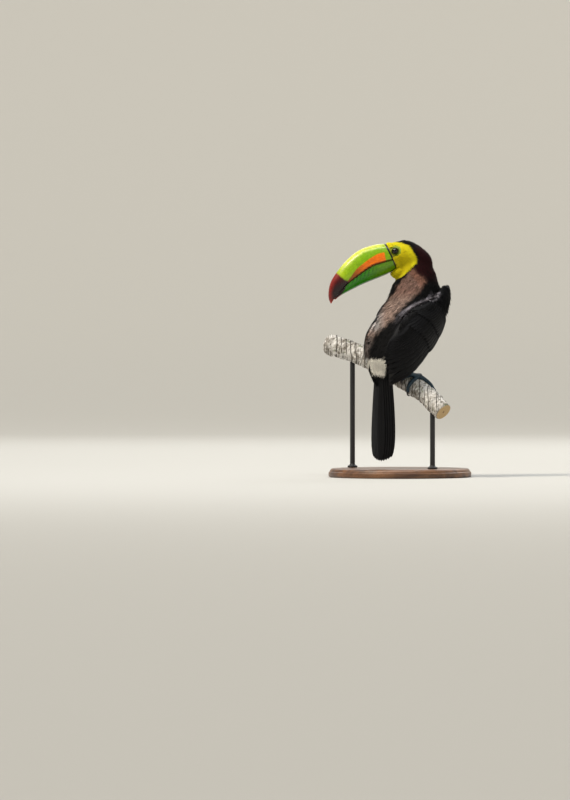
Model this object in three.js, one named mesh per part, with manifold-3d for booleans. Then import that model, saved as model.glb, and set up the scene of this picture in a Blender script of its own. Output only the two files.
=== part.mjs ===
// Keel-billed toucan at life size, sitting on a short cut branch and looking back over its left
// shoulder. The branch is held by a plain display stand. Millimetres, +Z up; the origin is the
// centre of the stand's underside.
import * as THREE from 'three';
import { mergeVertices } from 'three/addons/utils/BufferGeometryUtils.js';
import Module from 'manifold-3d';

const wasm = await Module();
wasm.setup();

// ---------------------------------------------------------------- driving dimensions
const GAP = 0.3; // clearance between neighbouring pieces
const BILL_ROOM = 1.02; // growth of the bill's clearance about its middle

const BODY_CENTRE = [1, -10, 203]; // middle of the trunk
const BODY_AZIMUTH = 50; // degrees from +X toward +Y that the breast faces
const BODY_PITCH = 50; // degrees that the trunk's axis rises toward the breast

const HEAD_CENTRE = [14, 27, 306];
const HEAD_AZIMUTH = 185; // the bill points back, past the left shoulder
const HEAD_PITCH = -25; // and down

const TAIL_TOP = [-24.7, -36, 150]; // where the tail feathers leave the body
const TAIL_LENGTH = 125.5;
const TAIL_THICKNESS = 5;

const EYE_RADIUS = 5.2;
const EYE_PLACE = [15.6, 15.2, 19]; // forward, left and up from the head's centre

const PERCH_RADIUS = 14.5;
const PERCH_ENDS = [-98, 60]; // X of the two sawn ends
const FOOT_SPREAD = 20; // each foot's distance from the bird's middle plane

const BASE_RADIUS = 100;
const BASE_HEIGHT = 12;
const ROD_RADIUS = 3.5;
const ROD_PLACES = { left: -66, right: 45 }; // X of the two rods under the perch

// ---------------------------------------------------------------- finishes
const FINISH = {
  plumage: { color: 0x14131a, roughness: 0.6, metalness: 0 },
  face: { color: 0xe8cf1c, roughness: 0.7, metalness: 0 },
  bill: { color: 0x7fae2a, roughness: 0.35, metalness: 0 },
  eye: { color: 0x0b0a08, roughness: 0.05, metalness: 0 },
  foot: { color: 0x6f97a6, roughness: 0.55, metalness: 0 },
  claw: { color: 0x1b1a1c, roughness: 0.35, metalness: 0 },
  bark: { color: 0xb9b6ab, roughness: 0.9, metalness: 0 },
  base: { color: 0x5a3c27, roughness: 0.45, metalness: 0 },
  rod: { color: 0x2b2b2d, roughness: 0.4, metalness: 0.6 },
};

// ---------------------------------------------------------------- frames
const rad = THREE.MathUtils.degToRad;

// A frame whose x runs forward, y to the animal's left and z out of its back or crown.
function frameOf(centre, azimuth, pitch) {
  const a = rad(azimuth);
  const p = rad(pitch);
  const forward = new THREE.Vector3(
    Math.cos(p) * Math.cos(a), Math.cos(p) * Math.sin(a), Math.sin(p));
  const left = new THREE.Vector3(-Math.sin(a), Math.cos(a), 0);
  const up = new THREE.Vector3().crossVectors(forward, left);
  return new THREE.Matrix4().makeBasis(forward, left, up).setPosition(...centre);
}

const bodyFrame = frameOf(BODY_CENTRE, BODY_AZIMUTH, BODY_PITCH);
const headFrame = frameOf(HEAD_CENTRE, HEAD_AZIMUTH, HEAD_PITCH);
const forwardFlat = new THREE.Vector3(Math.cos(rad(BODY_AZIMUTH)), Math.sin(rad(BODY_AZIMUTH)), 0);
const leftFlat = new THREE.Vector3(-forwardFlat.y, forwardFlat.x, 0);
const UP = new THREE.Vector3(0, 0, 1);

// ---------------------------------------------------------------- making solids
// Value of a smooth curve through a few [place, value, value, ...] keys, one result per column.
function alongKeys(keys, place) {
  const last = keys.length - 1;
  let i = 0;
  while (i < last - 1 && place > keys[i + 1][0]) i += 1;
  const before = keys[Math.max(i - 1, 0)];
  const from = keys[i];
  const to = keys[i + 1];
  const after = keys[Math.min(i + 2, last)];
  const span = to[0] - from[0];
  const t = THREE.MathUtils.clamp((place - from[0]) / span, 0, 1);
  return from.slice(1).map((value, column) => {
    const c = column + 1;
    const slopeFrom = (to[c] - before[c]) / (to[0] - before[0]) * span;
    const slopeTo = (after[c] - value) / (after[0] - from[0]) * span;
    const t2 = t * t;
    const t3 = t2 * t;
    return value * (2 * t3 - 3 * t2 + 1) + slopeFrom * (t3 - 2 * t2 + t)
      + to[c] * (3 * t2 - 2 * t3) + slopeTo * (t3 - t2);
  });
}

// A closed geometry through rings of points, with a fan over each end. Seen against the way the
// rings advance, each ring runs anticlockwise.
function loft(rings) {
  const around = rings[0].length;
  const positions = [];
  const index = [];
  rings.flat().forEach((point) => positions.push(point.x, point.y, point.z));
  for (let r = 0; r + 1 < rings.length; r += 1) {
    for (let k = 0; k < around; k += 1) {
      const a = r * around + k;
      const b = r * around + (k + 1) % around;
      index.push(a, b, b + around, a, b + around, a + around);
    }
  }
  [[0, 1], [rings.length - 1, 0]].forEach(([r, flip]) => {
    const centre = new THREE.Vector3();
    rings[r].forEach((point) => centre.addScaledVector(point, 1 / around));
    const tip = positions.length / 3;
    positions.push(centre.x, centre.y, centre.z);
    for (let k = 0; k < around; k += 1) {
      const a = r * around + k;
      const b = r * around + (k + 1) % around;
      index.push(...(flip ? [b, a, tip] : [a, b, tip]));
    }
  });
  const geometry = new THREE.BufferGeometry();
  geometry.setAttribute('position', new THREE.Float32BufferAttribute(positions, 3));
  geometry.setIndex(index);
  return geometry;
}

function solid(geometry) {
  const bare = geometry.clone();
  bare.deleteAttribute('normal');
  bare.deleteAttribute('uv');
  const merged = mergeVertices(bare, 1e-4);
  const body = new wasm.Manifold(new wasm.Mesh({
    numProp: 3,
    vertProperties: new Float32Array(merged.attributes.position.array),
    triVerts: new Uint32Array(merged.index.array),
  }));
  return body;
}

function geometryOf(body) {
  const mesh = body.getMesh();
  const geometry = new THREE.BufferGeometry();
  geometry.setAttribute('position', new THREE.BufferAttribute(mesh.vertProperties, 3));
  geometry.setIndex(new THREE.BufferAttribute(mesh.triVerts, 1));
  geometry.computeVertexNormals();
  return geometry;
}

// The largest single body left after a cut, so that no sliver stays behind.
function mainPiece(body) {
  return body.decompose().sort((a, b) => b.volume() - a.volume())[0];
}

// A tapered round tube along a list of points; radii is a function of the way along, 0 to 1.
function tube(points, radiusAt, sides, perPoint) {
  const curve = new THREE.CatmullRomCurve3(points, false, 'centripetal');
  const steps = (points.length - 1) * perPoint;
  const side = new THREE.Vector3();
  const rings = [];
  for (let i = 0; i <= steps; i += 1) {
    const t = i / steps;
    const centre = curve.getPoint(t);
    const along = curve.getTangent(t);
    side.crossVectors(UP, along);
    if (side.length() < 0.2) side.crossVectors(forwardFlat, along);
    side.normalize();
    const over = new THREE.Vector3().crossVectors(along, side);
    const ring = [];
    for (let k = 0; k < sides; k += 1) {
      const angle = 2 * Math.PI * k / sides;
      ring.push(centre.clone()
        .addScaledVector(side, radiusAt(t) * Math.cos(angle))
        .addScaledVector(over, radiusAt(t) * Math.sin(angle)));
    }
    rings.push(ring);
  }
  return loft(rings);
}

// ---------------------------------------------------------------- trunk and rump
// Station along the trunk's axis, half width, height of the back and depth of the belly.
const TRUNK_KEYS = [
  [-66, 15, 13, 12],
  [-56, 21, 20, 19],
  [-42, 29, 26, 27],
  [-22, 39, 32, 37],
  [0, 42, 34, 43],
  [22, 42, 34, 45],
  [42, 40, 32, 46],
  [58, 35, 26, 42],
  [72, 21, 15, 28],
];

function trunkSection(station, grow) {
  const [width, back, belly] = alongKeys(TRUNK_KEYS, station);
  return { width: width + grow, back: back + grow, belly: belly + grow };
}

function ellipseRing(frame, station, section, sides) {
  const ring = [];
  for (let k = 0; k < sides; k += 1) {
    const angle = 2 * Math.PI * k / sides;
    const y = section.width * Math.cos(angle);
    const height = Math.sin(angle) > 0 ? section.back : section.belly;
    ring.push(new THREE.Vector3(station, y, height * Math.sin(angle)).applyMatrix4(frame));
  }
  return ring;
}

function trunkGeometry(grow) {
  const rings = [];
  const steps = 15;
  for (let i = 0; i <= steps; i += 1) {
    const station = 3 - 69 * Math.cos(Math.PI * i / steps);
    rings.push(ellipseRing(bodyFrame, station, trunkSection(station, grow), 18));
  }
  return loft(rings);
}

// The rump bends from the trunk's slope down into the hanging tail.
function rumpGeometry(grow) {
  const middle = (station, drop = 0) => new THREE.Vector3(station, 0, drop).applyMatrix4(bodyFrame);
  const root = new THREE.Vector3(...TAIL_TOP);
  const spine = new THREE.CatmullRomCurve3([
    middle(-30), middle(-50), middle(-63, -2),
    root.clone().addScaledVector(UP, 4),
    root.clone().addScaledVector(UP, -12).addScaledVector(forwardFlat, 2),
    root.clone().addScaledVector(UP, -34).addScaledVector(forwardFlat, 6),
  ]);
  const keys = [[0, 34, 29], [0.24, 26, 25], [0.44, 19.5, 18], [0.64, 15.5, 11.5],
    [0.82, 12.5, 7], [1, 7, 2.5]];
  const rings = [];
  for (let i = 0; i <= 11; i += 1) {
    const t = i / 11;
    const centre = spine.getPoint(t);
    const along = spine.getTangent(t);
    const over = new THREE.Vector3().crossVectors(along, leftFlat).normalize();
    const [width, depth] = alongKeys(keys, t);
    const ring = [];
    for (let k = 0; k < 18; k += 1) {
      const angle = 2 * Math.PI * k / 18;
      ring.push(centre.clone()
        .addScaledVector(leftFlat, (width + grow) * Math.cos(angle))
        .addScaledVector(over, (depth + grow) * Math.sin(angle)));
    }
    rings.push(ring);
  }
  return loft(rings);
}

// ---------------------------------------------------------------- neck and head
const NECK_KEYS = [ // way up the neck, half width in the head's plane, half depth
  [0, 38, 38],
  [0.3, 36, 35],
  [0.6, 30, 29],
  [0.85, 26, 25],
  [1, 22, 22],
];

function neckGeometry(grow) {
  const foot = new THREE.Vector3(38, 0, -4).applyMatrix4(bodyFrame);
  const spine = new THREE.CatmullRomCurve3([
    foot,
    new THREE.Vector3(22.5, 24, 262),
    new THREE.Vector3(23.5, 28, 279),
    new THREE.Vector3(20, 28, 300),
  ]);
  const rings = [];
  for (let i = 0; i <= 7; i += 1) {
    const t = i / 7;
    const centre = spine.getPoint(t);
    const along = spine.getTangent(t);
    const side = new THREE.Vector3(1, 0, 0).addScaledVector(along, -along.x).normalize();
    const over = new THREE.Vector3().crossVectors(along, side);
    const [width, depth] = alongKeys(NECK_KEYS, t);
    const ring = [];
    for (let k = 0; k < 20; k += 1) {
      const angle = 2 * Math.PI * k / 20;
      ring.push(centre.clone()
        .addScaledVector(side, (width + grow) * Math.cos(angle))
        .addScaledVector(over, (depth + grow) * Math.sin(angle)));
    }
    rings.push(ring);
  }
  return loft(rings);
}

// Station along the head, half width, crown height and throat height.
const HEAD_KEYS = [
  [-29, 1.5, -10.5, -13.5],
  [-27.5, 7.5, -3, -20],
  [-24, 13, 5, -25],
  [-17, 18, 16.5, -27],
  [-8, 21, 25.5, -25],
  [4, 21.5, 29.5, -18],
  [14, 19.5, 31.5, -9.5],
  [22, 16.2, 31.5, -4.8],
];

function headGeometry() {
  const rings = [];
  const steps = 12;
  const sides = 18;
  for (let i = 0; i <= steps; i += 1) {
    const station = 22 - 51 * Math.cos(0.5 * Math.PI * i / steps);
    const [width, top, bottom] = alongKeys(HEAD_KEYS, station);
    const ring = [];
    for (let k = 0; k < sides; k += 1) {
      const angle = 2 * Math.PI * k / sides;
      const y = width * Math.cos(angle);
      const z = (top + bottom) / 2 + (top - bottom) / 2 * Math.sin(angle);
      ring.push(new THREE.Vector3(station, y, z).applyMatrix4(headFrame));
    }
    rings.push(ring);
  }
  return loft(rings);
}

// Feathers of the chin, which reach forward under the bill.
function chinGeometry() {
  return new THREE.SphereGeometry(1, 12, 8)
    .scale(15.5, 14.5, 11)
    .translate(19.5, 0, -9.5)
    .applyMatrix4(headFrame);
}

// ---------------------------------------------------------------- bill
// Matching stations of the ridge, the cutting edge and the chin line, forward and up, and the
// half width at the cutting edge.
const RIDGE = [[22.4, 33.5], [38, 38.6], [60, 40.6], [81, 35.6], [102, 25.8], [116, 16],
  [124, 5], [127.5, -4], [127.6, -10.6]];
const EDGE = [[22.4, 9], [36, 11.6], [52, 13.6], [66, 12], [80, 9], [94, 5.6],
  [108, 0], [119, -5], [126.6, -10.4]];
const CHIN = [[22.4, -4.2], [36, -6.2], [50, -6], [64, -5.2], [78, -4.7], [92, -5],
  [103, -5.4], [112, -6.2], [119, -8]];
const HALF_WIDTH = [[0, 16.2], [0.2, 15.6], [0.4, 14], [0.6, 11.2], [0.8, 7.4], [0.92, 4.2], [1, 0.9]];

function billCurve(points) {
  return new THREE.CatmullRomCurve3(points.map(([x, z]) => new THREE.Vector3(x, 0, z)));
}

function billRing(edge, crest, width, sides, bulge) {
  const ring = [];
  const rise = new THREE.Vector3().subVectors(crest, edge);
  for (let k = 0; k <= sides; k += 1) {
    const angle = Math.PI * k / sides;
    const share = Math.sin(angle) ** bulge;
    const y = width * Math.sign(Math.cos(angle)) * Math.abs(Math.cos(angle)) ** 0.8;
    ring.push(edge.clone().addScaledVector(rise, share).setY(y).applyMatrix4(headFrame));
  }
  ring.push(edge.clone().addScaledVector(rise, 0.06).setY(-width * 0.35).applyMatrix4(headFrame));
  ring.push(edge.clone().addScaledVector(rise, 0.06).setY(width * 0.35).applyMatrix4(headFrame));
  return ring;
}

function upperBill() {
  const ridge = billCurve(RIDGE);
  const edge = billCurve(EDGE);
  const rings = [];
  for (let i = 0; i <= 16; i += 1) {
    const t = i / 16;
    const [width] = alongKeys(HALF_WIDTH, t);
    const low = edge.getPoint(t);
    low.z += GAP;
    rings.push(billRing(low, ridge.getPoint(t), width, 12, 0.8));
  }
  return loft(rings);
}

function lowerBill() {
  const chin = billCurve(CHIN);
  const edge = billCurve(EDGE);
  const rings = [];
  for (let i = 0; i <= 13; i += 1) {
    const t = i / 13;
    const onEdge = t * 0.9;
    const [width] = alongKeys(HALF_WIDTH, onEdge);
    const high = edge.getPoint(onEdge);
    high.z -= GAP;
    rings.push(billRing(high, chin.getPoint(t), width * 0.96, 10, 0.85).reverse());
  }
  return loft(rings);
}

// ---------------------------------------------------------------- wings
// Along the trunk: the inner edge (out, up), the outer edge (out, up), how far the wing bulges
// between them, and its thickness.
const WING_KEYS = [
  [-84, 12.5, -15, 12, -18.5, 0.6, 2],
  [-78, 15.5, -4, 18, -20.5, 3.5, 2.6],
  [-65, 18.5, 14, 29.5, -23.5, 6, 4],
  [-46, 21.5, 26, 38.5, -25, 9.5, 6],
  [-25, 23, 31.5, 43, -26, 13, 7.5],
  [0, 22.5, 34.5, 46, -26.5, 15, 9],
  [28, 33, 28, 46.5, -26, 13, 12],
  [50, 42, 15, 46.5, -20, 8, 16],
  [68, 42, 11.5, 45.5, -15, 6, 15],
  [80, 41, 8, 44, -10.5, 4, 9],
  [86, 41, 2, 42, -5, 1, 3],
];

// The left wing lies tighter to the body than the right one, least where the two keys meet.
function tuck(side, station) {
  if (side < 0) return 0;
  const { smoothstep } = THREE.MathUtils;
  const rear = 3.5 * smoothstep(-station, 20, 70);
  const middle = 6 * smoothstep(station, -25, 10) * (1 - smoothstep(station, 45, 75));
  return rear + middle;
}

function wingGeometry(side, grow) {
  const first = WING_KEYS[0][0] - grow;
  const last = WING_KEYS[WING_KEYS.length - 1][0] + grow;
  const rings = [];
  const steps = 14;
  const across = 6;
  for (let i = 0; i <= steps; i += 1) {
    const station = first + (last - first) * (0.5 - 0.5 * Math.cos(Math.PI * i / steps));
    const [innerY, innerZ, outerY, outerZ, bulge, thick] = alongKeys(WING_KEYS, station);
    const chord = Math.hypot(outerY - innerY, outerZ - innerZ);
    const out = [(innerZ - outerZ) / chord, (outerY - innerY) / chord];
    const at = (share, depth) => {
      const lift = bulge * (1 - (2 * share - 1) ** 2) - depth;
      const wide = share + (2 * share - 1) * grow / chord;
      const y = innerY + (outerY - innerY) * wide + out[0] * lift - tuck(side, station);
      const z = innerZ + (outerZ - innerZ) * wide + out[1] * lift;
      return new THREE.Vector3(station, side * y, z).applyMatrix4(bodyFrame);
    };
    const outside = [];
    const inside = [];
    for (let k = 0; k <= across; k += 1) {
      const share = 0.5 - 0.5 * Math.cos(Math.PI * k / across);
      const full = Math.sin(Math.PI * share) ** 0.5;
      outside.push(at(share, -0.4 - grow));
      inside.push(at(share, 0.8 + grow + (thick - 1) * full));
    }
    const ring = outside.concat(inside.reverse());
    rings.push(side > 0 ? ring.reverse() : ring);
  }
  return loft(rings);
}

// ---------------------------------------------------------------- tail
// Ten folded feathers make a slightly arched plate with a rounded end.
const TAIL_KEYS = [ // way down, half width
  [0, 16],
  [0.25, 18],
  [0.6, 20.3],
  [0.85, 22],
  [0.94, 20.5],
  [0.985, 15.5],
  [1, 11.5],
];

function tailGeometry() {
  const rings = [];
  const steps = 10;
  const across = 6;
  const root = new THREE.Vector3(...TAIL_TOP);
  for (let i = 0; i <= steps; i += 1) {
    const t = Math.sin(0.5 * Math.PI * i / steps);
    const [half] = alongKeys(TAIL_KEYS, t);
    const at = (share, back) => {
      const y = half * (2 * share - 1);
      const arch = 3.2 * (1 - (2 * share - 1) ** 2);
      return root.clone()
        .addScaledVector(UP, -TAIL_LENGTH * t)
        .addScaledVector(leftFlat, y)
        .addScaledVector(forwardFlat, -arch - back);
    };
    const back = [];
    const front = [];
    for (let k = 0; k <= across; k += 1) {
      const share = k / across;
      const full = Math.sqrt(Math.max(1 - (2 * share - 1) ** 2, 0)) * (1 - 0.45 * t);
      back.push(at(share, 0.4 + TAIL_THICKNESS / 2 * full));
      front.push(at(share, -0.4 - TAIL_THICKNESS / 2 * full));
    }
    rings.push(back.concat(front.reverse()));
  }
  return loft(rings);
}

// ---------------------------------------------------------------- perch
// Height of the branch's centre line over X; in plan it runs square to the way the bird faces.
const PERCH_KEYS = [[-112, 189], [-53, 170], [-10, 147], [36, 116], [52, 100], [62, 90]];
// The branch passes under the bird a little ahead of the trunk's middle.
const PERCH_ORIGIN = new THREE.Vector3(BODY_CENTRE[0], BODY_CENTRE[1], 0)
  .addScaledVector(forwardFlat, 7);

function perchCentre(x) {
  const along = (x - PERCH_ORIGIN.x) / -leftFlat.x;
  const y = PERCH_ORIGIN.y - leftFlat.y * along;
  return new THREE.Vector3(x, y, alongKeys(PERCH_KEYS, x)[0]);
}

function perchAxes(x) {
  const along = perchCentre(x + 1).sub(perchCentre(x - 1)).normalize();
  const over = UP.clone().addScaledVector(along, -along.z).normalize();
  const ahead = new THREE.Vector3().crossVectors(over, along);
  return { along, over, ahead };
}

function perchRadius(x) {
  const taper = 1 - 0.0006 * (x - PERCH_ENDS[0]);
  const knuckle = 0.35 * Math.sin(x * 0.31) + 0.3 * Math.sin(x * 0.13 + 1);
  return PERCH_RADIUS * taper + knuckle;
}

function perchGeometry(grow) {
  const rings = [];
  const steps = 18;
  for (let i = 0; i <= steps; i += 1) {
    const x = PERCH_ENDS[0] + (PERCH_ENDS[1] - PERCH_ENDS[0]) * i / steps;
    const { over, ahead } = perchAxes(x);
    const ring = [];
    for (let k = 0; k < 14; k += 1) {
      const angle = 2 * Math.PI * k / 14;
      ring.push(perchCentre(x)
        .addScaledVector(over, (perchRadius(x) + grow) * Math.cos(angle))
        .addScaledVector(ahead, -(perchRadius(x) + grow) * Math.sin(angle)));
    }
    rings.push(ring);
  }
  return loft(rings);
}

// ---------------------------------------------------------------- legs and feet
// Toes as turns round the branch from its top (degrees, ahead is plus) and the slide along it.
const TOES = [
  { name: 'front_outer', turn: [8, 30, 52, 68], slide: [2, 9, 16, 21], claw: [78, 25] },
  { name: 'front_inner', turn: [12, 48, 84, 112], slide: [-3, -7, -9, -10], claw: [138, -10] },
  { name: 'rear_inner', turn: [-10, -34, -58, -76], slide: [-4, -8, -11, -12], claw: [-100, -9] },
  { name: 'rear_outer', turn: [-14, -50, -88, -118], slide: [0, 1, 1, 2], claw: [-146, 4] },
];
const TOE_RADIUS = 3.1;

function onPerch(x, turn, lift) {
  const { over, ahead } = perchAxes(x);
  const angle = rad(turn);
  return perchCentre(x)
    .addScaledVector(over, (perchRadius(x) + lift) * Math.cos(angle))
    .addScaledVector(ahead, (perchRadius(x) + lift) * Math.sin(angle));
}

function footX(side) {
  return PERCH_ORIGIN.x - side * FOOT_SPREAD * -leftFlat.x;
}

function toeGeometry(side, toe) {
  const x = footX(side);
  const points = toe.turn.map((turn, i) =>
    onPerch(x - side * toe.slide[i] * -leftFlat.x, turn, TOE_RADIUS - 0.3));
  points.unshift(onPerch(x, toe.turn[0] * 0.3, TOE_RADIUS + 1.2));
  return tube(points, (t) => TOE_RADIUS * (1.05 - 0.3 * t) + 0.2 * Math.cos(t * 19), 6, 1.5);
}

function clawGeometry(side, toe) {
  const x = footX(side);
  const last = toe.turn.length - 1;
  const [turn, slide] = toe.claw;
  const mix = (a, b, t) => a + (b - a) * t;
  const points = [0.12, 0.4, 0.7, 1].map((t) => onPerch(
    x - side * mix(toe.slide[last], slide, t) * -leftFlat.x,
    mix(toe.turn[last], turn, t),
    mix(2.6, 1.2, t) + 1.6 * Math.sin(Math.PI * t)));
  return tube(points, (t) => 2.1 * (1 - t) ** 0.8 + 0.35, 5, 2);
}

function shankGeometry(side) {
  const foot = onPerch(footX(side), 0, TOE_RADIUS + 0.6);
  const heel = foot.clone()
    .addScaledVector(forwardFlat, -27)
    .addScaledVector(leftFlat, side * 2)
    .addScaledVector(UP, 5);
  const middle = foot.clone().lerp(heel, 0.5).addScaledVector(UP, -0.5);
  return tube([foot, middle, heel], (t) => 3.4 - 0.8 * Math.sin(Math.PI * t), 8, 3);
}

function thighGeometry(side, grow) {
  const heel = onPerch(footX(side), 0, TOE_RADIUS + 0.6)
    .addScaledVector(forwardFlat, -26)
    .addScaledVector(leftFlat, side * 2)
    .addScaledVector(UP, 5);
  const knee = new THREE.Vector3(-20, side * 20, -26).applyMatrix4(bodyFrame);
  const hip = new THREE.Vector3(-8, side * 16, -14).applyMatrix4(bodyFrame);
  const end = heel.clone().addScaledVector(heel.clone().sub(knee).normalize(), grow);
  return tube([hip, knee, heel.clone().lerp(knee, 0.35), end],
    (t) => 13 - 9 * t ** 1.5 + grow, 8, 2);
}

// ---------------------------------------------------------------- stand
function baseGeometry() {
  const edge = 3;
  const profile = [
    new THREE.Vector2(0, 0),
    new THREE.Vector2(BASE_RADIUS - 1, 0),
    new THREE.Vector2(BASE_RADIUS, 1),
    new THREE.Vector2(BASE_RADIUS, BASE_HEIGHT - edge - 2),
    new THREE.Vector2(BASE_RADIUS - 1, BASE_HEIGHT - edge + 0.5),
    new THREE.Vector2(BASE_RADIUS - edge, BASE_HEIGHT),
    new THREE.Vector2(0, BASE_HEIGHT),
  ];
  const geometry = new THREE.LatheGeometry(profile, 30);
  geometry.rotateX(Math.PI / 2);
  return geometry;
}

function rodGeometry(height) {
  const collar = 7;
  const profile = [
    new THREE.Vector2(0, 0),
    new THREE.Vector2(collar, 0),
    new THREE.Vector2(collar, 2.5),
    new THREE.Vector2(ROD_RADIUS + 0.8, 4),
    new THREE.Vector2(ROD_RADIUS, 6),
    new THREE.Vector2(ROD_RADIUS, height),
    new THREE.Vector2(0, height),
  ];
  const geometry = new THREE.LatheGeometry(profile, 10);
  geometry.rotateX(Math.PI / 2);
  return geometry;
}

// ---------------------------------------------------------------- assembly
const group = new THREE.Group();

function place(name, geometry, finish) {
  const mesh = new THREE.Mesh(geometry, new THREE.MeshStandardMaterial(finish));
  mesh.name = name;
  group.add(mesh);
  return mesh;
}

const perch = solid(perchGeometry(0));
const perchRoom = solid(perchGeometry(GAP));
const trunkRoom = solid(trunkGeometry(GAP)).add(solid(rumpGeometry(GAP)));
const neckRoom = solid(neckGeometry(GAP));
place('perch', geometryOf(perch), FINISH.bark);

// The bill with its clearance, grown about the middle of its base.
const billMiddle = new THREE.Vector3(60, 0, 13).applyMatrix4(headFrame);
function roomFor(geometry) {
  const grown = geometry.clone().translate(-billMiddle.x, -billMiddle.y, -billMiddle.z);
  grown.scale(BILL_ROOM, BILL_ROOM, BILL_ROOM);
  return solid(grown.translate(billMiddle.x, billMiddle.y, billMiddle.z));
}
const upperGeometry = upperBill();
const lowerGeometry = lowerBill();
const billRoom = roomFor(upperGeometry).add(roomFor(lowerGeometry));

// The bird is made whole, then parted at the head, the neck, the trunk and the rump.
const whole = solid(trunkGeometry(0))
  .add(solid(rumpGeometry(0)))
  .add(solid(neckGeometry(0)))
  .add(solid(headGeometry()))
  .add(solid(chinGeometry()))
  .subtract(perchRoom)
  .subtract(billRoom);

// Halves a body where a plane crosses it, and leaves a gap between the halves.
function part(body, point, normal) {
  const n = normal.clone().normalize();
  const at = n.dot(point);
  return [
    mainPiece(body.trimByPlane([n.x, n.y, n.z], at + GAP / 2)),
    mainPiece(body.trimByPlane([-n.x, -n.y, -n.z], -at + GAP / 2)),
  ];
}

const neckTop = new THREE.Vector3(20, 28, 286);
const neckFoot = new THREE.Vector3(24, 22, 264);
const [headWhole, belowHead] = part(whole, neckTop, new THREE.Vector3(-0.34, 0, 1));
const [neck, belowNeck] = part(belowHead, neckFoot, new THREE.Vector3(0.1, 0.35, 1));
const rumpCut = new THREE.Vector3(-52, 0, 0).applyMatrix4(bodyFrame);
const axis = new THREE.Vector3().setFromMatrixColumn(bodyFrame, 0);
const [trunk, rump] = part(belowNeck, rumpCut, axis);

const eyes = [['eye_left', 1], ['eye_right', -1]].map(([name, side]) => {
  const [x, y, z] = EYE_PLACE;
  const at = new THREE.Vector3(x, side * y, z).applyMatrix4(headFrame);
  return { name, at };
});
let head = headWhole;
eyes.forEach(({ name, at }) => {
  const socket = new THREE.SphereGeometry(EYE_RADIUS + GAP, 10, 7).translate(...at.toArray());
  head = head.subtract(solid(socket));
  const eye = place(name, new THREE.SphereGeometry(EYE_RADIUS, 10, 8), FINISH.eye);
  eye.position.copy(at);
});

const SIDES = [['left', 1], ['right', -1]];
const wingRooms = SIDES.map(([, side]) => solid(wingGeometry(side, GAP)));
const tail = wingRooms.reduce((rest, room) => rest.subtract(room),
  solid(tailGeometry()).subtract(trunkRoom));
place('tail', geometryOf(mainPiece(tail)), FINISH.plumage);
place('head', geometryOf(head), FINISH.face);
place('neck', geometryOf(neck), FINISH.plumage);
place('rump', geometryOf(rump), FINISH.plumage);
place('bill_upper', upperGeometry, FINISH.bill);
place('bill_lower', lowerGeometry, FINISH.bill);

place('trunk', geometryOf(trunk), FINISH.plumage);
SIDES.forEach(([word, side], index) => {
  const wing = solid(wingGeometry(side, 0))
    .subtract(trunkRoom)
    .subtract(neckRoom)
    .subtract(perchRoom);
  place(`wing_${word}`, geometryOf(mainPiece(wing)), FINISH.plumage);

  const thigh = solid(thighGeometry(side, 0))
    .subtract(trunkRoom)
    .subtract(perchRoom)
    .subtract(wingRooms[index]);
  place(`thigh_${word}`, geometryOf(mainPiece(thigh)), FINISH.plumage);

  const leg = TOES.reduce((sum, toe) => sum.add(solid(toeGeometry(side, toe))),
    solid(shankGeometry(side)));
  const foot = leg
    .subtract(perchRoom)
    .subtract(solid(thighGeometry(side, 2 * GAP)))
    .subtract(wingRooms[index])
    .subtract(trunkRoom);
  place(`foot_${word}`, geometryOf(mainPiece(foot)), FINISH.foot);

  TOES.forEach((toe) => {
    const claw = solid(clawGeometry(side, toe)).subtract(leg).subtract(perchRoom);
    place(`claw_${word}_${toe.name}`, geometryOf(mainPiece(claw)), FINISH.claw);
  });
});

place('stand_base', baseGeometry(), FINISH.base);
Object.entries(ROD_PLACES).forEach(([word, x]) => {
  const at = perchCentre(x);
  const rod = solid(rodGeometry(at.z).translate(at.x, at.y, BASE_HEIGHT + GAP)).subtract(perchRoom);
  place(`stand_rod_${word}`, geometryOf(mainPiece(rod)), FINISH.rod);
});

export default group;
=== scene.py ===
"""Keel-billed toucan on a cut branch over a display stand: its finished surfaces.

One skin takes the place of the flesh solids, and feathers lie over it as thin solid vanes.
Lengths are in millimetres until a mesh is made, because Blender works in metres.
"""

import itertools
import math

import bmesh
import bpy
import numpy as np
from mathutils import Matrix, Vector
from mathutils.bvhtree import BVHTree


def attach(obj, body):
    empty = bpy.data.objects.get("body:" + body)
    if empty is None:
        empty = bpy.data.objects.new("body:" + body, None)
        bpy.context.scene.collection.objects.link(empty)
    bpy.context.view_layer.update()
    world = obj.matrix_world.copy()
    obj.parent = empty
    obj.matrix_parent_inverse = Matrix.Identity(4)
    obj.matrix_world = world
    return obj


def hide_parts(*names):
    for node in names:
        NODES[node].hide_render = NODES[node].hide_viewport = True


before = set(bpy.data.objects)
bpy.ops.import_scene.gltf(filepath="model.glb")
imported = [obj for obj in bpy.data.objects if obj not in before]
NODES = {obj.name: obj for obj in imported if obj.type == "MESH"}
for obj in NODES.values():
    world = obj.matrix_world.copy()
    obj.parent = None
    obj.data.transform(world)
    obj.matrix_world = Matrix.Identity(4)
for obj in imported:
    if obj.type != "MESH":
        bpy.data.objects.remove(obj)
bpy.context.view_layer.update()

MM = 0.001
SIDES = {"left": 1, "right": -1}
chance = np.random.default_rng(11)

# ------------------------------------------------------------------ places on the bird


def frame_of(centre, azimuth, pitch):
    """Centre and rows forward, left and up of a part that faces azimuth and rises by pitch."""
    a, p = math.radians(azimuth), math.radians(pitch)
    forward = np.array([math.cos(p) * math.cos(a), math.cos(p) * math.sin(a), math.sin(p)])
    left = np.array([-math.sin(a), math.cos(a), 0])
    return np.array(centre, float), np.stack([forward, left, np.cross(forward, left)])


def to_world(part, local):
    return part[0] + np.asarray(local, float) @ part[1]


def to_local(part, world):
    return (np.asarray(world, float) - part[0]) @ part[1].T


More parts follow.
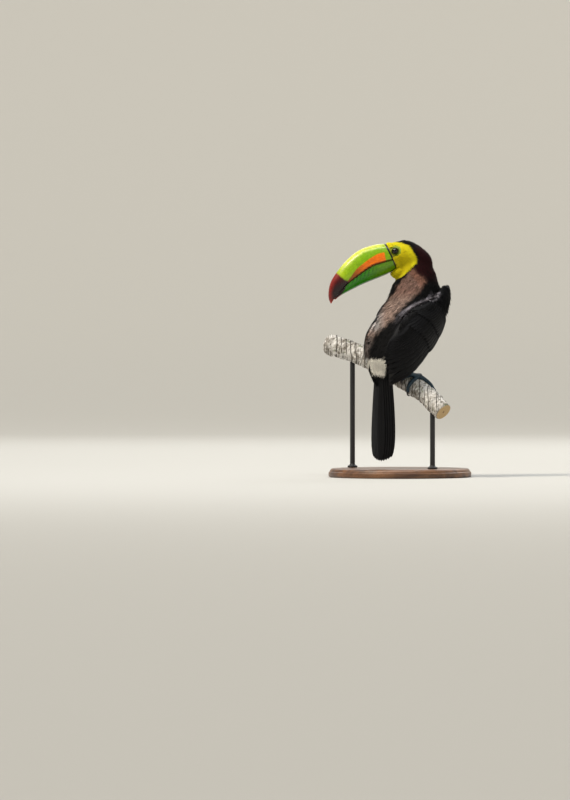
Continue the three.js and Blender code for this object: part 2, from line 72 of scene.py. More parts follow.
BODY = frame_of((1, -10, 203), 50, 50)
HEAD = frame_of((14, 27, 306), 185, -25)
FACING = frame_of((0, 0, 0), 50, 0)[1]
AHEAD, LEFT, UP = FACING
EYE_PLACE = (15.6, 15.2, 19)
EYE_RADIUS = 5.2
TAIL_TOP = np.array([-24.7, -36, 150])
TAIL_LENGTH = 125.5
NECK_TOP = 284, 296  # between these heights the neck turns into the head


def unit(v):
    return v / np.maximum(np.linalg.norm(v, axis=-1, keepdims=True), 1e-9)


def flat(v, n):
    """The part of directions v that lies across directions n."""
    return v - (v * n).sum(1, keepdims=True) * n


def smooth(x, low, high):
    """0 below low, 1 above high, and an even slope between them."""
    t = np.clip((x - low) / (high - low), 0, 1)
    return t * t * (3 - 2 * t)


def keyed(keys, place):
    """Values of a smooth curve through [place, value, ...] keys, one row for each place."""
    keys = np.array(keys, float)
    place = np.atleast_1d(np.asarray(place, float))
    last = len(keys) - 1
    i = np.searchsorted(keys[1:last, 0], place)
    before, start = keys[np.maximum(i - 1, 0)], keys[i]
    end, after = keys[i + 1], keys[np.minimum(i + 2, last)]
    span = (end - start)[:, :1]
    t = np.clip((place[:, None] - start[:, :1]) / span, 0, 1)
    leave = (end - before) / (end - before)[:, :1] * span
    arrive = (after - start) / (after - start)[:, :1] * span
    value = (start * (2 * t**3 - 3 * t**2 + 1) + leave * (t**3 - 2 * t**2 + t)
             + end * (3 * t**2 - 2 * t**3) + arrive * (t**3 - t**2))
    return value[:, 1:]


def run(line):
    """How far each point of a line lies along it."""
    return np.concatenate([[0], np.cumsum(np.linalg.norm(np.diff(line, axis=0), axis=1))])


def turns(count):
    """Even angles all the way round."""
    return np.linspace(0, 2 * np.pi, count, endpoint=False)


def curve(points, t):
    """Centripetal curve through points, at shares t of the way by count of points."""
    p = np.array(points, float)
    p = np.vstack([2 * p[0] - p[1], p, 2 * p[-1] - p[-2]])
    place = np.atleast_1d(np.asarray(t, float)) * (len(p) - 3)
    i = np.minimum(place.astype(int), len(p) - 4)
    w = (place - i)[:, None]
    a, b, c, d = p[i], p[i + 1], p[i + 2], p[i + 3]
    ab, bc, cd = (np.linalg.norm(y - x, axis=1, keepdims=True) ** 0.5
                  for x, y in ((a, b), (b, c), (c, d)))
    leave = ((b - a) / ab - (c - a) / (ab + bc) + (c - b) / bc) * bc
    arrive = ((c - b) / bc - (d - b) / (bc + cd) + (d - c) / cd) * bc
    return (b + leave * w + (3 * (c - b) - 2 * leave - arrive) * w**2
            + (2 * (b - c) + leave + arrive) * w**3)


def wobble(x, y, z=0.0):
    """A smooth uneven value between about -1 and 1, for places in units of its grain."""
    return (np.sin(1.7 * x + 1.3 * np.sin(0.9 * y + 0.4) + z)
            + np.sin(2.3 * y + 1.1 * np.sin(1.3 * x + 2.1) - z)
            + np.sin(1.1 * (x + y) + 2.0 * np.sin(0.7 * z + 1.0))) / 3


# ------------------------------------------------------------------ making meshes


def linked(name, data):
    """A new object in the scene, which shows data."""
    obj = bpy.data.objects.new(name, data)
    bpy.context.scene.collection.objects.link(obj)
    return obj


def piece(name, verts, faces, material, slot_name, replaced=(), tidy=False):
    """A mesh piece from millimetre points, which rides on the bird's one body."""
    mesh = bpy.data.meshes.new(name)
    mesh.from_pydata((np.asarray(verts) * MM).tolist(), [], np.asarray(faces).tolist()
                     if isinstance(faces, np.ndarray) else faces)
    if tidy:
        work = bmesh.new()
        work.from_mesh(mesh)
        bmesh.ops.recalc_face_normals(work, faces=work.faces)
        work.to_mesh(mesh)
        work.free()
    mesh.shade_smooth()
    mesh.materials.append(material)
    obj = linked(name, mesh)
    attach(obj, "root")
    if replaced:
        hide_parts(*replaced)
    return obj


def attribute(obj, name, values):
    """A number or a colour at each point, for the material to read."""
    values = np.asarray(values, float)
    colour = values.ndim == 2
    layer = obj.data.attributes.new(name, "FLOAT_COLOR" if colour else "FLOAT", "POINT")
    if colour:
        values = np.column_stack([values, np.ones(len(values))])
    layer.data.foreach_set("color" if colour else "value", values.ravel().astype(np.float32))


def uv_map(obj, name, uv):
    layer = obj.data.uv_layers.new(name=name)
    corner = np.empty(len(obj.data.loops), np.int32)
    obj.data.loops.foreach_get("vertex_index", corner)
    layer.data.foreach_set("uv", np.asarray(uv)[corner].ravel().astype(np.float32))


def grid_faces(rows, columns, closed=True):
    """Quads between rows of points; a closed row joins its last point to its first."""
    r, c = np.meshgrid(np.arange(rows - 1), np.arange(columns if closed else columns - 1),
                       indexing="ij")
    r, c = r.ravel(), c.ravel()
    d = (c + 1) % columns
    return np.stack([r * columns + c, r * columns + d, (r + 1) * columns + d,
                     (r + 1) * columns + c], axis=1)


def sweep(rings):
    """Points and faces of rings (rows, sides, 3) with a fan over each end."""
    rows, sides = rings.shape[:2]
    verts = np.vstack([rings.reshape(-1, 3), rings[0].mean(0), rings[-1].mean(0)])
    faces = grid_faces(rows, sides).tolist()
    first, last = rows * sides, rows * sides + 1
    faces += [[(k + 1) % sides, k, first] for k in range(sides)]
    faces += [[(rows - 1) * sides + k, (rows - 1) * sides + (k + 1) % sides, last]
              for k in range(sides)]
    return verts, faces


def joined(parts):
    """Points and faces of several meshes as one."""
    verts, faces, start = [], [], 0
    for part_verts, part_faces in parts:
        verts.append(part_verts)
        faces += [[i + start for i in face] for face in part_faces]
        start += len(part_verts)
    return np.vstack(verts), faces


# ------------------------------------------------------------------ colours
def tone(code):
    """Linear colour of an sRGB hex value."""
    channels = [int(code[i:i + 2], 16) / 255 for i in (1, 3, 5)]
    return np.array([c / 12.92 if c <= 0.04045 else ((c + 0.055) / 1.055) ** 2.4
                     for c in channels])


BLACK = tone("#070709")
MAROON = tone("#2e0a0e")
# Painted sunlight on the black mantle: its lit tone, a pale highlight, and browner and darker
# parts.
SUNLIT_MANTLE = tone("#a78f83")
MANTLE_HIGHLIGHT = tone("#aaa4a2")
SUNLIT_MANTLE_TOP = tone("#87695d")
SUNLIT_MANTLE_LOW = tone("#695f5b")
# Painted highlight along the right wing's upper inner edge.
WING_EDGE_HIGHLIGHT = tone("#8f8b93")
# The nape's own maroon tinge, painted lighter as if sunlit.
SUNLIT_NAPE_FLUSH = tone("#a0684f")
YELLOW = tone("#d6c506")
BRIGHT_YELLOW = tone("#eee21a")
RED = tone("#b0100f")
WHITE = tone("#f3eee2")
EYE_SKIN = tone("#93a51c")
LID_SKIN = tone("#46590f")
FOOT_BLUE = tone("#2c4656")
FOOT_DARK = tone("#0f181e")

# Edge of the yellow face on the head: height, then how far forward it starts.
FACE_EDGE = [[-26, 26], [-19.5, 24], [-15, 10], [-10.5, -2], [-6.5, -6.5], [-3, -8], [4.6, -7.6],
             [12.8, -6.5], [18.7, -5], [23, -0.5], [26.8, 3.8], [29.5, 8], [32, 13.8], [36, 17]]
# The bib turns round the neck on its way down: height, azimuth it faces, half its spread.
BIB = [[225, 50, 46], [235, 55, 52], [245, 66, 56], [255, 92, 57], [265, 118, 60],
       [275, 138, 50], [279, 150, 60], [283, 160, 68], [290, 172, 77], [297, 184, 85],
       [306, 186, 85]]
# Where the painted sunlight on the mantle ends towards the right wing, and towards the breast:
# height, place across.
SUNLIT_MANTLE_EDGE = [[150, -52], [169, -46], [183, -41], [197, -36], [209, -25], [218, -13], [230, -4],
               [242, 7], [251, 17], [259, 26], [267, 32], [276, 38], [300, 44]]
SUNLIT_MANTLE_LEFT = [[205, -70], [218, -42], [229, -31], [239, -21.5], [248.5, -15], [258, -9],
               [267, -3.5], [276, 3], [288, 12]]
# On the breast: place along the trunk, and half the width of the bib there.
BREAST_HALF = [[20, 13], [32, 16], [44, 23], [58, 27], [75, 27], [100, 27]]
BIB_END, RED_BAND = 37, 7
NECK_AXIS = [[215, 34, 36], [240, 30, 27], [262, 24, 24], [279, 23.5, 28], [300, 20, 28]]


def blend(under, over, share):
    return under + (over - under) * np.asarray(share)[..., None]


def markings(p):
    """The plumage colour at each point, for the skin and the feathers alike, with painted sunlight
    on the mantle and a painted highlight along the right wing's edge.
    """
    head = to_local(HEAD, p)
    body = to_local(BODY, p)
    centre = keyed(NECK_AXIS, p[:, 2])
    turn = np.degrees(np.arctan2(p[:, 1] - centre[:, 1], p[:, 0] - centre[:, 0]))
    facing, spread = keyed(BIB, p[:, 2]).T
    off = np.abs((turn - facing + 180) % 360 - 180)
    uneven = 1.5 * wobble(p[:, 0] / 4, p[:, 1] / 4, p[:, 2] / 5)
    at_chin = smooth(head[:, 0], 12, 20)
    on_head = smooth(p[:, 2] + 11 * at_chin, *NECK_TOP) * smooth(head[:, 0], -40, -20)
    in_face = head[:, 0] - keyed(FACE_EDGE, head[:, 2])[:, 0] + uneven * 0.5
    side_bib = (spread - off) * 0.45 + uneven
    breast = np.minimum(keyed(BREAST_HALF, body[:, 0])[:, 0] - np.abs(body[:, 1]), 12 - body[:, 2])
    breast = (breast + uneven) * 0.6
    low = 1 - smooth(p[:, 2], 240, 258)
    side_bib = side_bib * (1 - low) + breast * low
    side_bib = np.minimum(side_bib, 33 - np.abs(body[:, 1]))
    in_bib = np.minimum(side_bib, body[:, 0] - BIB_END + uneven)
    inside = in_face * on_head + in_bib * (1 - on_head)
    colour = np.tile(BLACK, (len(p), 1))
    # Painted sunlight: the mantle's black plumage is drawn greyer and browner than the wings,
    # browner at the top and darker low down, as the sun lit it; where it meets the nape, the
    # bird's own maroon tinge shows as a painted sunlit flush.
    shoulder = p[:, 2] + 1.1 * (p[:, 0] - 24) + 2 * uneven
    mantle = ((1 - smooth(shoulder, *NECK_TOP)) * smooth(body[:, 2] + 0.25 * body[:, 1], 2, 14)
              * smooth(keyed(SUNLIT_MANTLE_EDGE, p[:, 2])[:, 0] - p[:, 0] + 2 * uneven, -5, 7)
              * smooth(p[:, 0] - keyed(SUNLIT_MANTLE_LEFT, p[:, 2])[:, 0] + 2 * uneven, -3, 3)
              * smooth(-inside, 4, 6.5) * (1 - on_head)
              * smooth((centre - p[:, :2]) @ AHEAD[:2], -2, 6))
    # Painted highlight: a pale grey patch on the mantle's far left, where sunlight glanced off the
    # feathers.
    pale = smooth(-p[:, 0], 18, 34) * smooth(p[:, 2], 200, 212)
    sunlit_mantle_tone = blend(blend(SUNLIT_MANTLE, SUNLIT_MANTLE_TOP, smooth(p[:, 2], 243, 262)), MANTLE_HIGHLIGHT, pale)
    sunlit_mantle_tone = blend(sunlit_mantle_tone, SUNLIT_MANTLE_LOW, 1 - smooth(p[:, 2], 188, 206))
    colour = blend(colour, sunlit_mantle_tone, mantle)
    # The nape flush: the bird's own maroon tinge, painted lighter as if sunlit.
    colour = blend(colour, SUNLIT_NAPE_FLUSH, mantle * smooth(shoulder, 268, 282) * 0.45)
    # Painted highlight: a pale grey line along the right wing's upper inner edge, where light
    # catches the glossy black feathers.
    ridge = ((1 - smooth(np.abs(from_inner_edge(body) - 1.0), 1.0, 4.5)) * (body[:, 1] < 0)
             * smooth(body[:, 0], -14, 30) * (1 - smooth(body[:, 0], 54, 66))
             * smooth(body[:, 2], 4, 12))
    colour = blend(colour, WING_EDGE_HIGHLIGHT, 0.85 * ridge)
    hind = (smooth(off, 60, 110) * smooth(shoulder, 280, 292) * (1 - smooth(head[:, 2], 4, 22))
            * (1 - smooth(np.hypot(*(p[:, :2] - centre).T), 25, 33)))
    colour = blend(colour, MAROON, 0.85 * hind * smooth(-inside, 3, 6))
    band = (np.minimum(side_bib, body[:, 0] - BIB_END + RED_BAND) > 0) & (p[:, 2] < 262)
    colour = blend(colour, RED, band)
    colour = blend(colour, YELLOW, smooth(inside, -0.4, 0.4))
    bright = smooth(inside, 0.5, 3) * (1 - smooth(inside, 5, 11))
    colour = blend(colour, BRIGHT_YELLOW, bright * on_head * 0.8)
    behind = -(p - TAIL_TOP) @ AHEAD
    past_wing = np.abs(body[:, 1]) - keyed(WING, body[:, 0])[:, 0]
    past_wing = past_wing - np.where(body[:, 1] > 0, 11, 0)
    white = (smooth(behind, 1, 3) * smooth(p[:, 2], 142, 144.5)
             * (1 - smooth(past_wing, -1.5, 0.5))
             * (1 - smooth(p[:, 0] + 0.5 * uneven, -21.5, -19.5))
             * (1 - smooth(p[:, 2] + uneven, 165, 169)))
    colour = blend(colour, WHITE, white)
    beside = np.abs((p - TAIL_TOP) @ LEFT)
    vent = ((1 - smooth(behind, -16, -11)) * (1 - smooth(p[:, 2], 150, 158)) * (body[:, 0] < -34)
            * (1 - smooth(beside, 9, 13)))
    return blend(colour, RED, vent)


# ------------------------------------------------------------------ materials
def add(tree, kind, settings=None, links=None):
    """A node with its settings, and its inputs linked to or set from links."""
    node = tree.nodes.new(kind)
    for key, value in (settings or {}).items():
        setattr(node, key, value)
    for key, value in (links or {}).items():
        if isinstance(value, bpy.types.NodeSocket):
            tree.links.new(value, node.inputs[key])
        else:
            node.inputs[key].default_value = value
    return node


def rgba(colour):
    return (*[float(c) for c in colour], 1.0)


class Paint:
    """A material whose surface is mixed from values and colours: sockets or plain numbers."""

    def __init__(self, name, **values):
        self.material = bpy.data.materials.new(name)
        self.material.use_nodes = True
        self.tree = self.material.node_tree
        self.shader = self.tree.nodes["Principled BSDF"]
        for key, value in values.items():
            self.shader.inputs[key.replace("_", " ")].default_value = value

    def node(self, kind, settings=None, links=None, out=0):
        return add(self.tree, kind, settings, links).outputs[out]

    def math(self, operation, *values):
        return self.node("ShaderNodeMath", {"operation": operation}, dict(enumerate(values)))

    def times(self, value, factor, plus=None):
        """Value times factor, with plus added where it is given."""
        if plus is None:
            return self.math("MULTIPLY", value, factor)
        return self.math("MULTIPLY_ADD", value, factor, plus)

    def field(self, name, out="Fac"):
        """What is stored at each point under a name."""
        return self.node("ShaderNodeAttribute", {"attribute_name": name}, None, out)

    def step(self, value, low, high):
        """0 below low and 1 above high, with a smooth slope between them."""
        return self.node("ShaderNodeMapRange", {"interpolation_type": "SMOOTHSTEP"},
                         {"Value": value, "From Min": low, "From Max": high})

    def fade(self, value, low, high):
        """1 below low and 0 above high, with a smooth slope between them."""
        return self.math("SUBTRACT", 1.0, self.step(value, low, high))

    def ramp(self, value, low, high, first, last):
        """An even slope from first, at low, to last, at high."""
        return self.node("ShaderNodeMapRange", None, {
            "Value": value, "From Min": low, "From Max": high, "To Min": first, "To Max": last})

    def over(self, share, under, top, weight=None):
        """Colour top laid on colour under by share, or by share times weight."""
        if weight is not None:
            share = self.times(share, weight)
        return self.mixed("MIX", share, under, top)

    def shaded(self, colour, shade):
        """Colour made darker or lighter by a value near 1."""
        return self.mixed("MULTIPLY", 1.0, colour, shade)

    def mixed(self, mode, share, under, top):
        under, top = (v if isinstance(v, bpy.types.NodeSocket) else rgba(v) for v in (under, top))
        return self.node("ShaderNodeMix", {"data_type": "RGBA", "blend_type": mode},
                         {0: share, 6: under, 7: top}, 2)

    def noise(self, size_mm, detail=3.0, stretch=(1, 1, 1)):
        """An uneven value with grains of a real size, over the object's own place."""
        place = self.node("ShaderNodeTexCoord", out="Object")
        scaled = self.node("ShaderNodeMapping", None, {"Vector": place, "Scale": stretch})
        return self.node("ShaderNodeTexNoise", None, {
            "Vector": scaled, "Scale": 1 / (size_mm * MM), "Detail": detail}, "Fac")

    def flat_noise(self, x, y, **values):
        """An uneven value over two values of the surface."""
        place = self.node("ShaderNodeCombineXYZ", None, {"X": x, "Y": y})
        return self.node("ShaderNodeTexNoise", {"noise_dimensions": "2D"},
                         {"Vector": place, **values}, "Fac")

    def done(self, colour, height=None, depth_mm=0.0, strength=1.0):
        """The finished material, with its colour and the fine relief of its surface."""
        self.tree.links.new(colour, self.shader.inputs["Base Color"])
        if height is not None:
            bump = self.node("ShaderNodeBump", None, {
                "Strength": strength, "Distance": depth_mm * MM, "Height": height})
            self.tree.links.new(bump, self.shader.inputs["Normal"])
        return self.material


def feather_material(name, barb_mm, gloss, sheen_colour, shine, sheen):
    """Keratin vane: fine barbs run off the shaft, so the light breaks into soft streaks."""
    p = Paint(name, Roughness=gloss, IOR=1.54, Specular_IOR_Level=shine, Sheen_Weight=sheen,
              Sheen_Roughness=0.4, Sheen_Tint=rgba(sheen_colour))
    place = p.node("ShaderNodeUVMap", {"uv_map": "vane"})
    split = add(p.tree, "ShaderNodeSeparateXYZ", None, {"Vector": place}).outputs
    slant = p.times(p.math("ABSOLUTE", split["X"]), -0.9, split["Y"])
    barbs = p.flat_noise(slant, p.times(split["X"], 0.12), Scale=1 / barb_mm, Detail=2.0,
                         Roughness=0.6)
    colour = p.shaded(p.field("tint", "Color"), p.ramp(barbs, 0.3, 0.7, 0.72, 1.2))
    return p.done(colour, barbs, 0.25, 0.35)


# Body plumage of a toucan is loose and hair-like, so it is duller than the wing.
loose_plumage = feather_material("loose black plumage", 0.5, 0.7, tone("#b9a59c"), 0.12, 0.03)
# Flight feathers are tight vanes, with a faint blue gloss.
flight_plumage = feather_material("tight flight feather", 0.7, 0.5, tone("#7f8fb0"), 0.12, 0.02)
# Short face feathers scatter light through them, so they look soft and bright.
face_plumage = feather_material("soft yellow plumage", 0.4, 0.8, tone("#fff3a0"), 0.2, 0.1)


def skin_material():
    """Bird skin: thin and matt, finely pebbled, and wrinkled where it is bare."""
    p = Paint("bird skin", Roughness=0.55, IOR=1.4)
    pebbles = p.node("ShaderNodeTexVoronoi", {"feature": "DISTANCE_TO_EDGE"}, {
        "Vector": p.node("ShaderNodeTexCoord", out="Object"), "Scale": 1 / (0.7 * MM)}, "Distance")
    colour = p.shaded(p.field("tint", "Color"), p.ramp(pebbles, 0.0, 0.25, 0.62, 1.08))
    return p.done(colour, pebbles, 0.2, 0.5)


def bill_material():
    """Thin horn over bone: waxy and glossy, with the colour in the horn and fine growth lines."""
    p = Paint("polished bill horn", IOR=1.54, Specular_IOR_Level=0.28, Coat_Weight=0.22,
              Coat_Roughness=0.12)
    ahead, height, share = p.field("ahead"), p.field("height"), p.field("share")
    uneven = p.math("SUBTRACT", p.noise(6), 0.5)
    fine = p.math("SUBTRACT", p.noise(1.6), 0.5)
    # Hair-thin streaks run the length of the horn, as it grew.
    streaks = p.flat_noise(p.times(ahead, 0.07), p.times(share, 38.0), Scale=1.0, Detail=4.0)
    # Upper half: green, yellower just behind the tip and along the ridge, where the culmen's own
    # yellower horn is painted paler still to stand for a highlight.
    upper = p.over(p.step(ahead, 52, 98), tone("#7aab08"), tone("#8fb414"))
    ridge = p.step(p.times(uneven, 0.2, share), 0.68, 0.97)
    upper = p.over(ridge, upper, tone("#dfe458"), 0.9)
    late = p.times(p.step(ahead, 84, 100), p.step(share, 0.35, 0.9))
    upper = p.over(late, upper, tone("#a8bf1c"))
    upper = p.over(p.fade(ahead, 27, 33), upper, tone("#7ba40a"), 0.5)
    # The orange blaze lies along the cutting edge and narrows to the front.
    blaze = p.times(uneven, 1.2, p.field("blaze"))
    orange = p.over(p.step(ahead, 52, 92), tone("#ee740c"), tone("#7d4405"))
    upper = p.over(p.step(blaze, -1.0, 0.8), upper, orange)
    # Lower half: olive at the base and deep green in front, with slanting marks under the teeth.
    lower = p.over(p.step(ahead, 34, 74), tone("#5f9004"), tone("#2b8206"))
    marks = p.math("SINE", p.times(p.times(height, 0.8, ahead), 2 * math.pi / TOOTH))
    near_edge = p.times(p.step(ahead, 44, 58), p.fade(share, 0.15, 0.75))
    marks = p.times(p.step(marks, 0.0, 1.0), near_edge)
    lower = p.over(marks, lower, tone("#123f06"), 0.6)
    # Painted shade: the keel along the underside of the lower half is darkened, where shade falls
    # beneath the bill.
    keel = p.step(p.times(uneven, 0.1, share), 0.86, 0.97)
    lower = p.over(keel, lower, tone("#26340f"), 0.8)
    colour = p.over(p.field("lower"), upper, lower)
    # Painted shade: the cutting edge, where the two halves meet, is darkened.
    colour = p.over(p.fade(share, 0.015, 0.1), colour, tone("#4a2410"), 0.7)
    # The tip is red and bright again at the very point; darkest low down and behind as painted
    # shade, and lighter towards the ridge as painted light from above.
    red = p.over(p.step(height, 4, 26), tone("#1d0206"), tone("#570912"))
    red = p.over(p.step(share, 0.6, 1.0), red, tone("#9c2c22"), 0.7)
    red = p.over(p.step(ahead, 118, 127), red, tone("#74120f"))
    red = p.over(p.fade(height, -10.5, -4), red, tone("#b4321a"))
    colour = p.over(p.step(p.times(uneven, 5.0, p.field("drop")), -2.2, 2.0), colour, red)
    # A black line runs round the base.
    base = p.times(fine, 0.8, ahead)
    colour = p.over(p.fade(base, 24.3, 25.0), colour, tone("#0c0b0a"))
    colour = p.over(p.fade(base, 21.9, 22.5), colour, tone("#8f9012"))
    # Painted shade: the inner faces between the two halves are dark brown.
    colour = p.over(p.field("inside"), colour, tone("#2a1512"))
    colour = p.shaded(colour, p.ramp(p.noise(3.0, 5.0), 0.3, 0.7, 0.84, 1.12))
    colour = p.shaded(colour, p.ramp(streaks, 0.3, 0.7, 0.88, 1.08))
    # Worn places are duller than the polished ones.
    wear = p.ramp(p.noise(5.0, 5.0), 0.35, 0.65, 0.24, 0.4)
    p.tree.links.new(wear, p.shader.inputs["Roughness"])
    growth = p.math("SINE", p.times(uneven, 9.0, p.times(share, 60.0)))
    lines = p.times(streaks, 0.35, p.times(growth, 0.06, p.noise(2.2, 4.0)))
    return p.done(colour, lines, 0.25, 0.5)


def eye_material():
    """Wet cornea over a dark iris: a clear sharp highlight on near-black brown."""
    p = Paint("wet eye", Roughness=0.05, IOR=1.38, Specular_IOR_Level=0.4, Coat_Weight=0.25,
              Coat_Roughness=0.02)
    angle = p.field("off_axis")
    spokes = p.math("SINE", p.times(p.field("round_axis"), 34.0))
    iris = p.over(p.step(spokes, -1, 1), tone("#120906"), tone("#22130a"))
    colour = p.over(p.step(angle, 27, 30), tone("#020202"), iris)
    return p.done(p.over(p.step(angle, 47, 53), colour, tone("#0a0806")))


def claw_material():
    """Claw keratin: dark smooth horn, paler in a fine uneven grain."""
    p = Paint("dark claw horn", Roughness=0.34, IOR=1.54)
    grain = p.noise(0.9, 4.0)
    colour = p.over(p.step(grain, 0.35, 0.7), tone("#131114"), tone("#3a3436"))
    return p.done(colour, grain, 0.1, 0.5)


def bark_material():
    """Pale smooth bark: chalky grey with lichen crust, dark in its scars; ends sawn and dry."""
    p = Paint("pale lichened bark", Roughness=0.88)
    broad, middle, fine = p.noise(16, 3.0), p.noise(4.5, 5.0), p.noise(1.1, 4.0)
    colour = p.over(p.step(broad, 0.38, 0.62), tone("#9d978f"), tone("#cfccc7"))
    colour = p.over(p.step(middle, 0.52, 0.66), colour, tone("#e6e4e0"))
    colour = p.over(p.fade(p.times(fine, 0.35, middle), 0.5, 0.62), colour, tone("#6d675b"))
    colour = p.over(p.step(p.noise(7.5, 5.0), 0.6, 0.66), colour, tone("#7c8368"), 0.75)
    colour = p.over(p.fade(p.field("scar"), -0.45, -0.12), colour, tone("#3b362f"), 0.85)
    # The sawn ends show a ring for each year, and a dark pith.
    spread = p.times(broad, 1.6, p.field("spread"))
    rings = p.math("SINE", p.times(spread, 2 * math.pi / RING_MM))
    wood = p.over(p.step(rings, -0.6, 1.0), tone("#cdb388"), tone("#a98a5c"))
    wood = p.over(p.fade(spread, 1.6, 3.0), wood, tone("#6d4f30"))
    colour = p.over(p.step(p.field("sawn"), 0.4, 0.6), colour, wood)
    return p.done(colour, p.times(fine, 0.5, middle), 0.7, 0.8)


def wood_material():
    """Oiled hardwood, turned and sanded: dark long grain with short pores and a low shine."""
    p = Paint("oiled walnut", Roughness=0.42, Coat_Weight=0.15, Coat_Roughness=0.3)
    grain, pores = p.noise(14, 4.0, (0.12, 1, 1)), p.noise(1.1, 3.0, (0.08, 1, 1))
    colour = p.over(p.step(grain, 0.35, 0.65), tone("#4a2e1c"), tone("#7d5535"))
    colour = p.over(p.step(pores, 0.56, 0.66), colour, tone("#2c1a10"), 0.6)
    return p.done(colour, pores, 0.12, 0.4)


def steel_material():
    """Powder-coated steel rod: satin black with the fine orange peel of the baked powder."""
    p = Paint("black powder-coated steel", Roughness=0.45)
    peel = p.noise(0.9, 2.0)
    colour = p.over(p.step(peel, 0.3, 0.7), tone("#161617"), tone("#242426"))
    return p.done(colour, peel, 0.06, 0.5)


TOOTH = 6.0  # length of one notch of the bill's saw edge
RING_MM = 1.3  # width of one year's ring in the sawn ends
bare_skin = skin_material()
bill_horn = bill_material()
eye_gloss = eye_material()
claw_horn = claw_material()
bark = bark_material()
oiled_wood = wood_material()
coated_steel = steel_material()

# ------------------------------------------------------------------ the skin
FLESH = ["head", "neck", "trunk", "rump", "wing_left", "wing_right", "thigh_left", "thigh_right"]
FEET = ["foot_left", "foot_right"]
VOXEL = 1.6
CLOSING = 0.4  # growth that closes the gaps between the flesh solids before they are joined
COAT_DEPTH = 3.0  # how deep the skin lies under the feather tips on most of the bird
FACE_THINNER, BREAST_THINNER = 1.9, 1.4
CHIN_DEPTH = 1.2
BEYOND = 40  # farther than the bird is thick


def mesh_arrays(mesh):
    co = np.empty(len(mesh.vertices) * 3, np.float64)
    mesh.vertices.foreach_get("co", co)
    return co.reshape(-1, 3) / MM, [list(p.vertices) for p in mesh.polygons]


flesh_parts = [mesh_arrays(NODES[name].data) for name in FLESH]
flesh_verts, flesh_faces = joined(flesh_parts)
flesh_owner = np.repeat(np.arange(len(FLESH)), [len(f) for _, f in flesh_parts])
flesh_tree = BVHTree.FromPolygons(flesh_verts.tolist(), flesh_faces)


def evened(mesh, voxel, rounds):
    """The solid of a mesh as one even closed mesh, smoothed a number of times."""
    obj = linked("work", mesh)
    even = obj.modifiers.new("even", "REMESH")
    even.mode = "VOXEL"
    even.voxel_size = voxel * MM
    soft = obj.modifiers.new("soft", "SMOOTH")
    soft.factor = 0.5
    soft.iterations = rounds
    result = bpy.data.meshes.new_from_object(
        obj.evaluated_get(bpy.context.evaluated_depsgraph_get()))
    verts, faces = mesh_arrays(result)
    normals = np.empty(len(verts) * 3)
    result.vertices.foreach_get("normal", normals)
    edges = np.empty(len(result.edges) * 2, np.int32)
    result.edges.foreach_get("vertices", edges)
    bpy.data.objects.remove(obj)
    bpy.data.meshes.remove(result)
    return verts, faces, normals.reshape(-1, 3), edges.reshape(-1, 2)


def joined_flesh():
    """All the flesh in one mesh, grown a little so that its solids meet."""
    work = bmesh.new()
    for name in FLESH:
        work.from_mesh(NODES[name].data)
    bmesh.ops.remove_doubles(work, verts=work.verts, dist=1e-6)
    work.normal_update()
    for vert in work.verts:
        vert.co += vert.normal * CLOSING * MM
    mesh = bpy.data.meshes.new("flesh_work")
    work.to_mesh(mesh)
    work.free()
    return mesh


def averaged(values, edges, rounds):
    """Values at points, spread evenly to their neighbours a number of times."""
    count = np.bincount(edges.ravel(), minlength=len(values))[:, None]
    values = values.reshape(len(values), -1)
    for _ in range(rounds):
        total = np.zeros_like(values)
        np.add.at(total, edges[:, 0], values[edges[:, 1]])
        np.add.at(total, edges[:, 1], values[edges[:, 0]])
        values = 0.5 * values + 0.5 * total / count
    return values


envelope, skin_faces, envelope_normals, skin_edges = evened(joined_flesh(), VOXEL, 8)
envelope_tree = BVHTree.FromPolygons(envelope.tolist(), skin_faces)


def coat_depth(p):
    """How deep the skin lies under the feather tips."""
    head = to_local(HEAD, p)
    face = smooth(head[:, 0], -14, 12) * smooth(p[:, 2], *NECK_TOP)
    front = smooth(to_local(BODY, p)[:, 0], 55, 80) * (1 - smooth(p[:, 2], 262, 275))
    return CLOSING + COAT_DEPTH - FACE_THINNER * face - BREAST_THINNER * front * (1 - face)


def room_inward(points, normals):
    """How thick the flesh is below each point."""
    out = np.empty(len(points))
    for i, (p, n) in enumerate(zip(points, normals)):
        start = Vector(p - 0.3 * n)
        hit = envelope_tree.ray_cast(start, Vector(-n), BEYOND)
        out[i] = hit[3] if hit[0] is not None else BEYOND
    return out


depth = np.minimum(coat_depth(envelope), 0.4 * room_inward(envelope, envelope_normals))
depth = averaged(depth, skin_edges, 4)
skin_verts = envelope - averaged(envelope_normals, skin_edges, 2) * depth
# Loose mantle feathers hide the crease between the back and the left wing, so it is filled.
outward = unit(averaged(envelope_normals, skin_edges, 6))
hollow = ((averaged(skin_verts, skin_edges, 45) - skin_verts) * outward).sum(1)
on_left = (smooth(to_local(BODY, skin_verts)[:, 1], 2, 12)
           * (1 - smooth(skin_verts[:, 2], 258, 272)))
skin_verts = skin_verts + outward * (0.95 * np.clip(hollow, 0, 6) * on_left)[:, None]
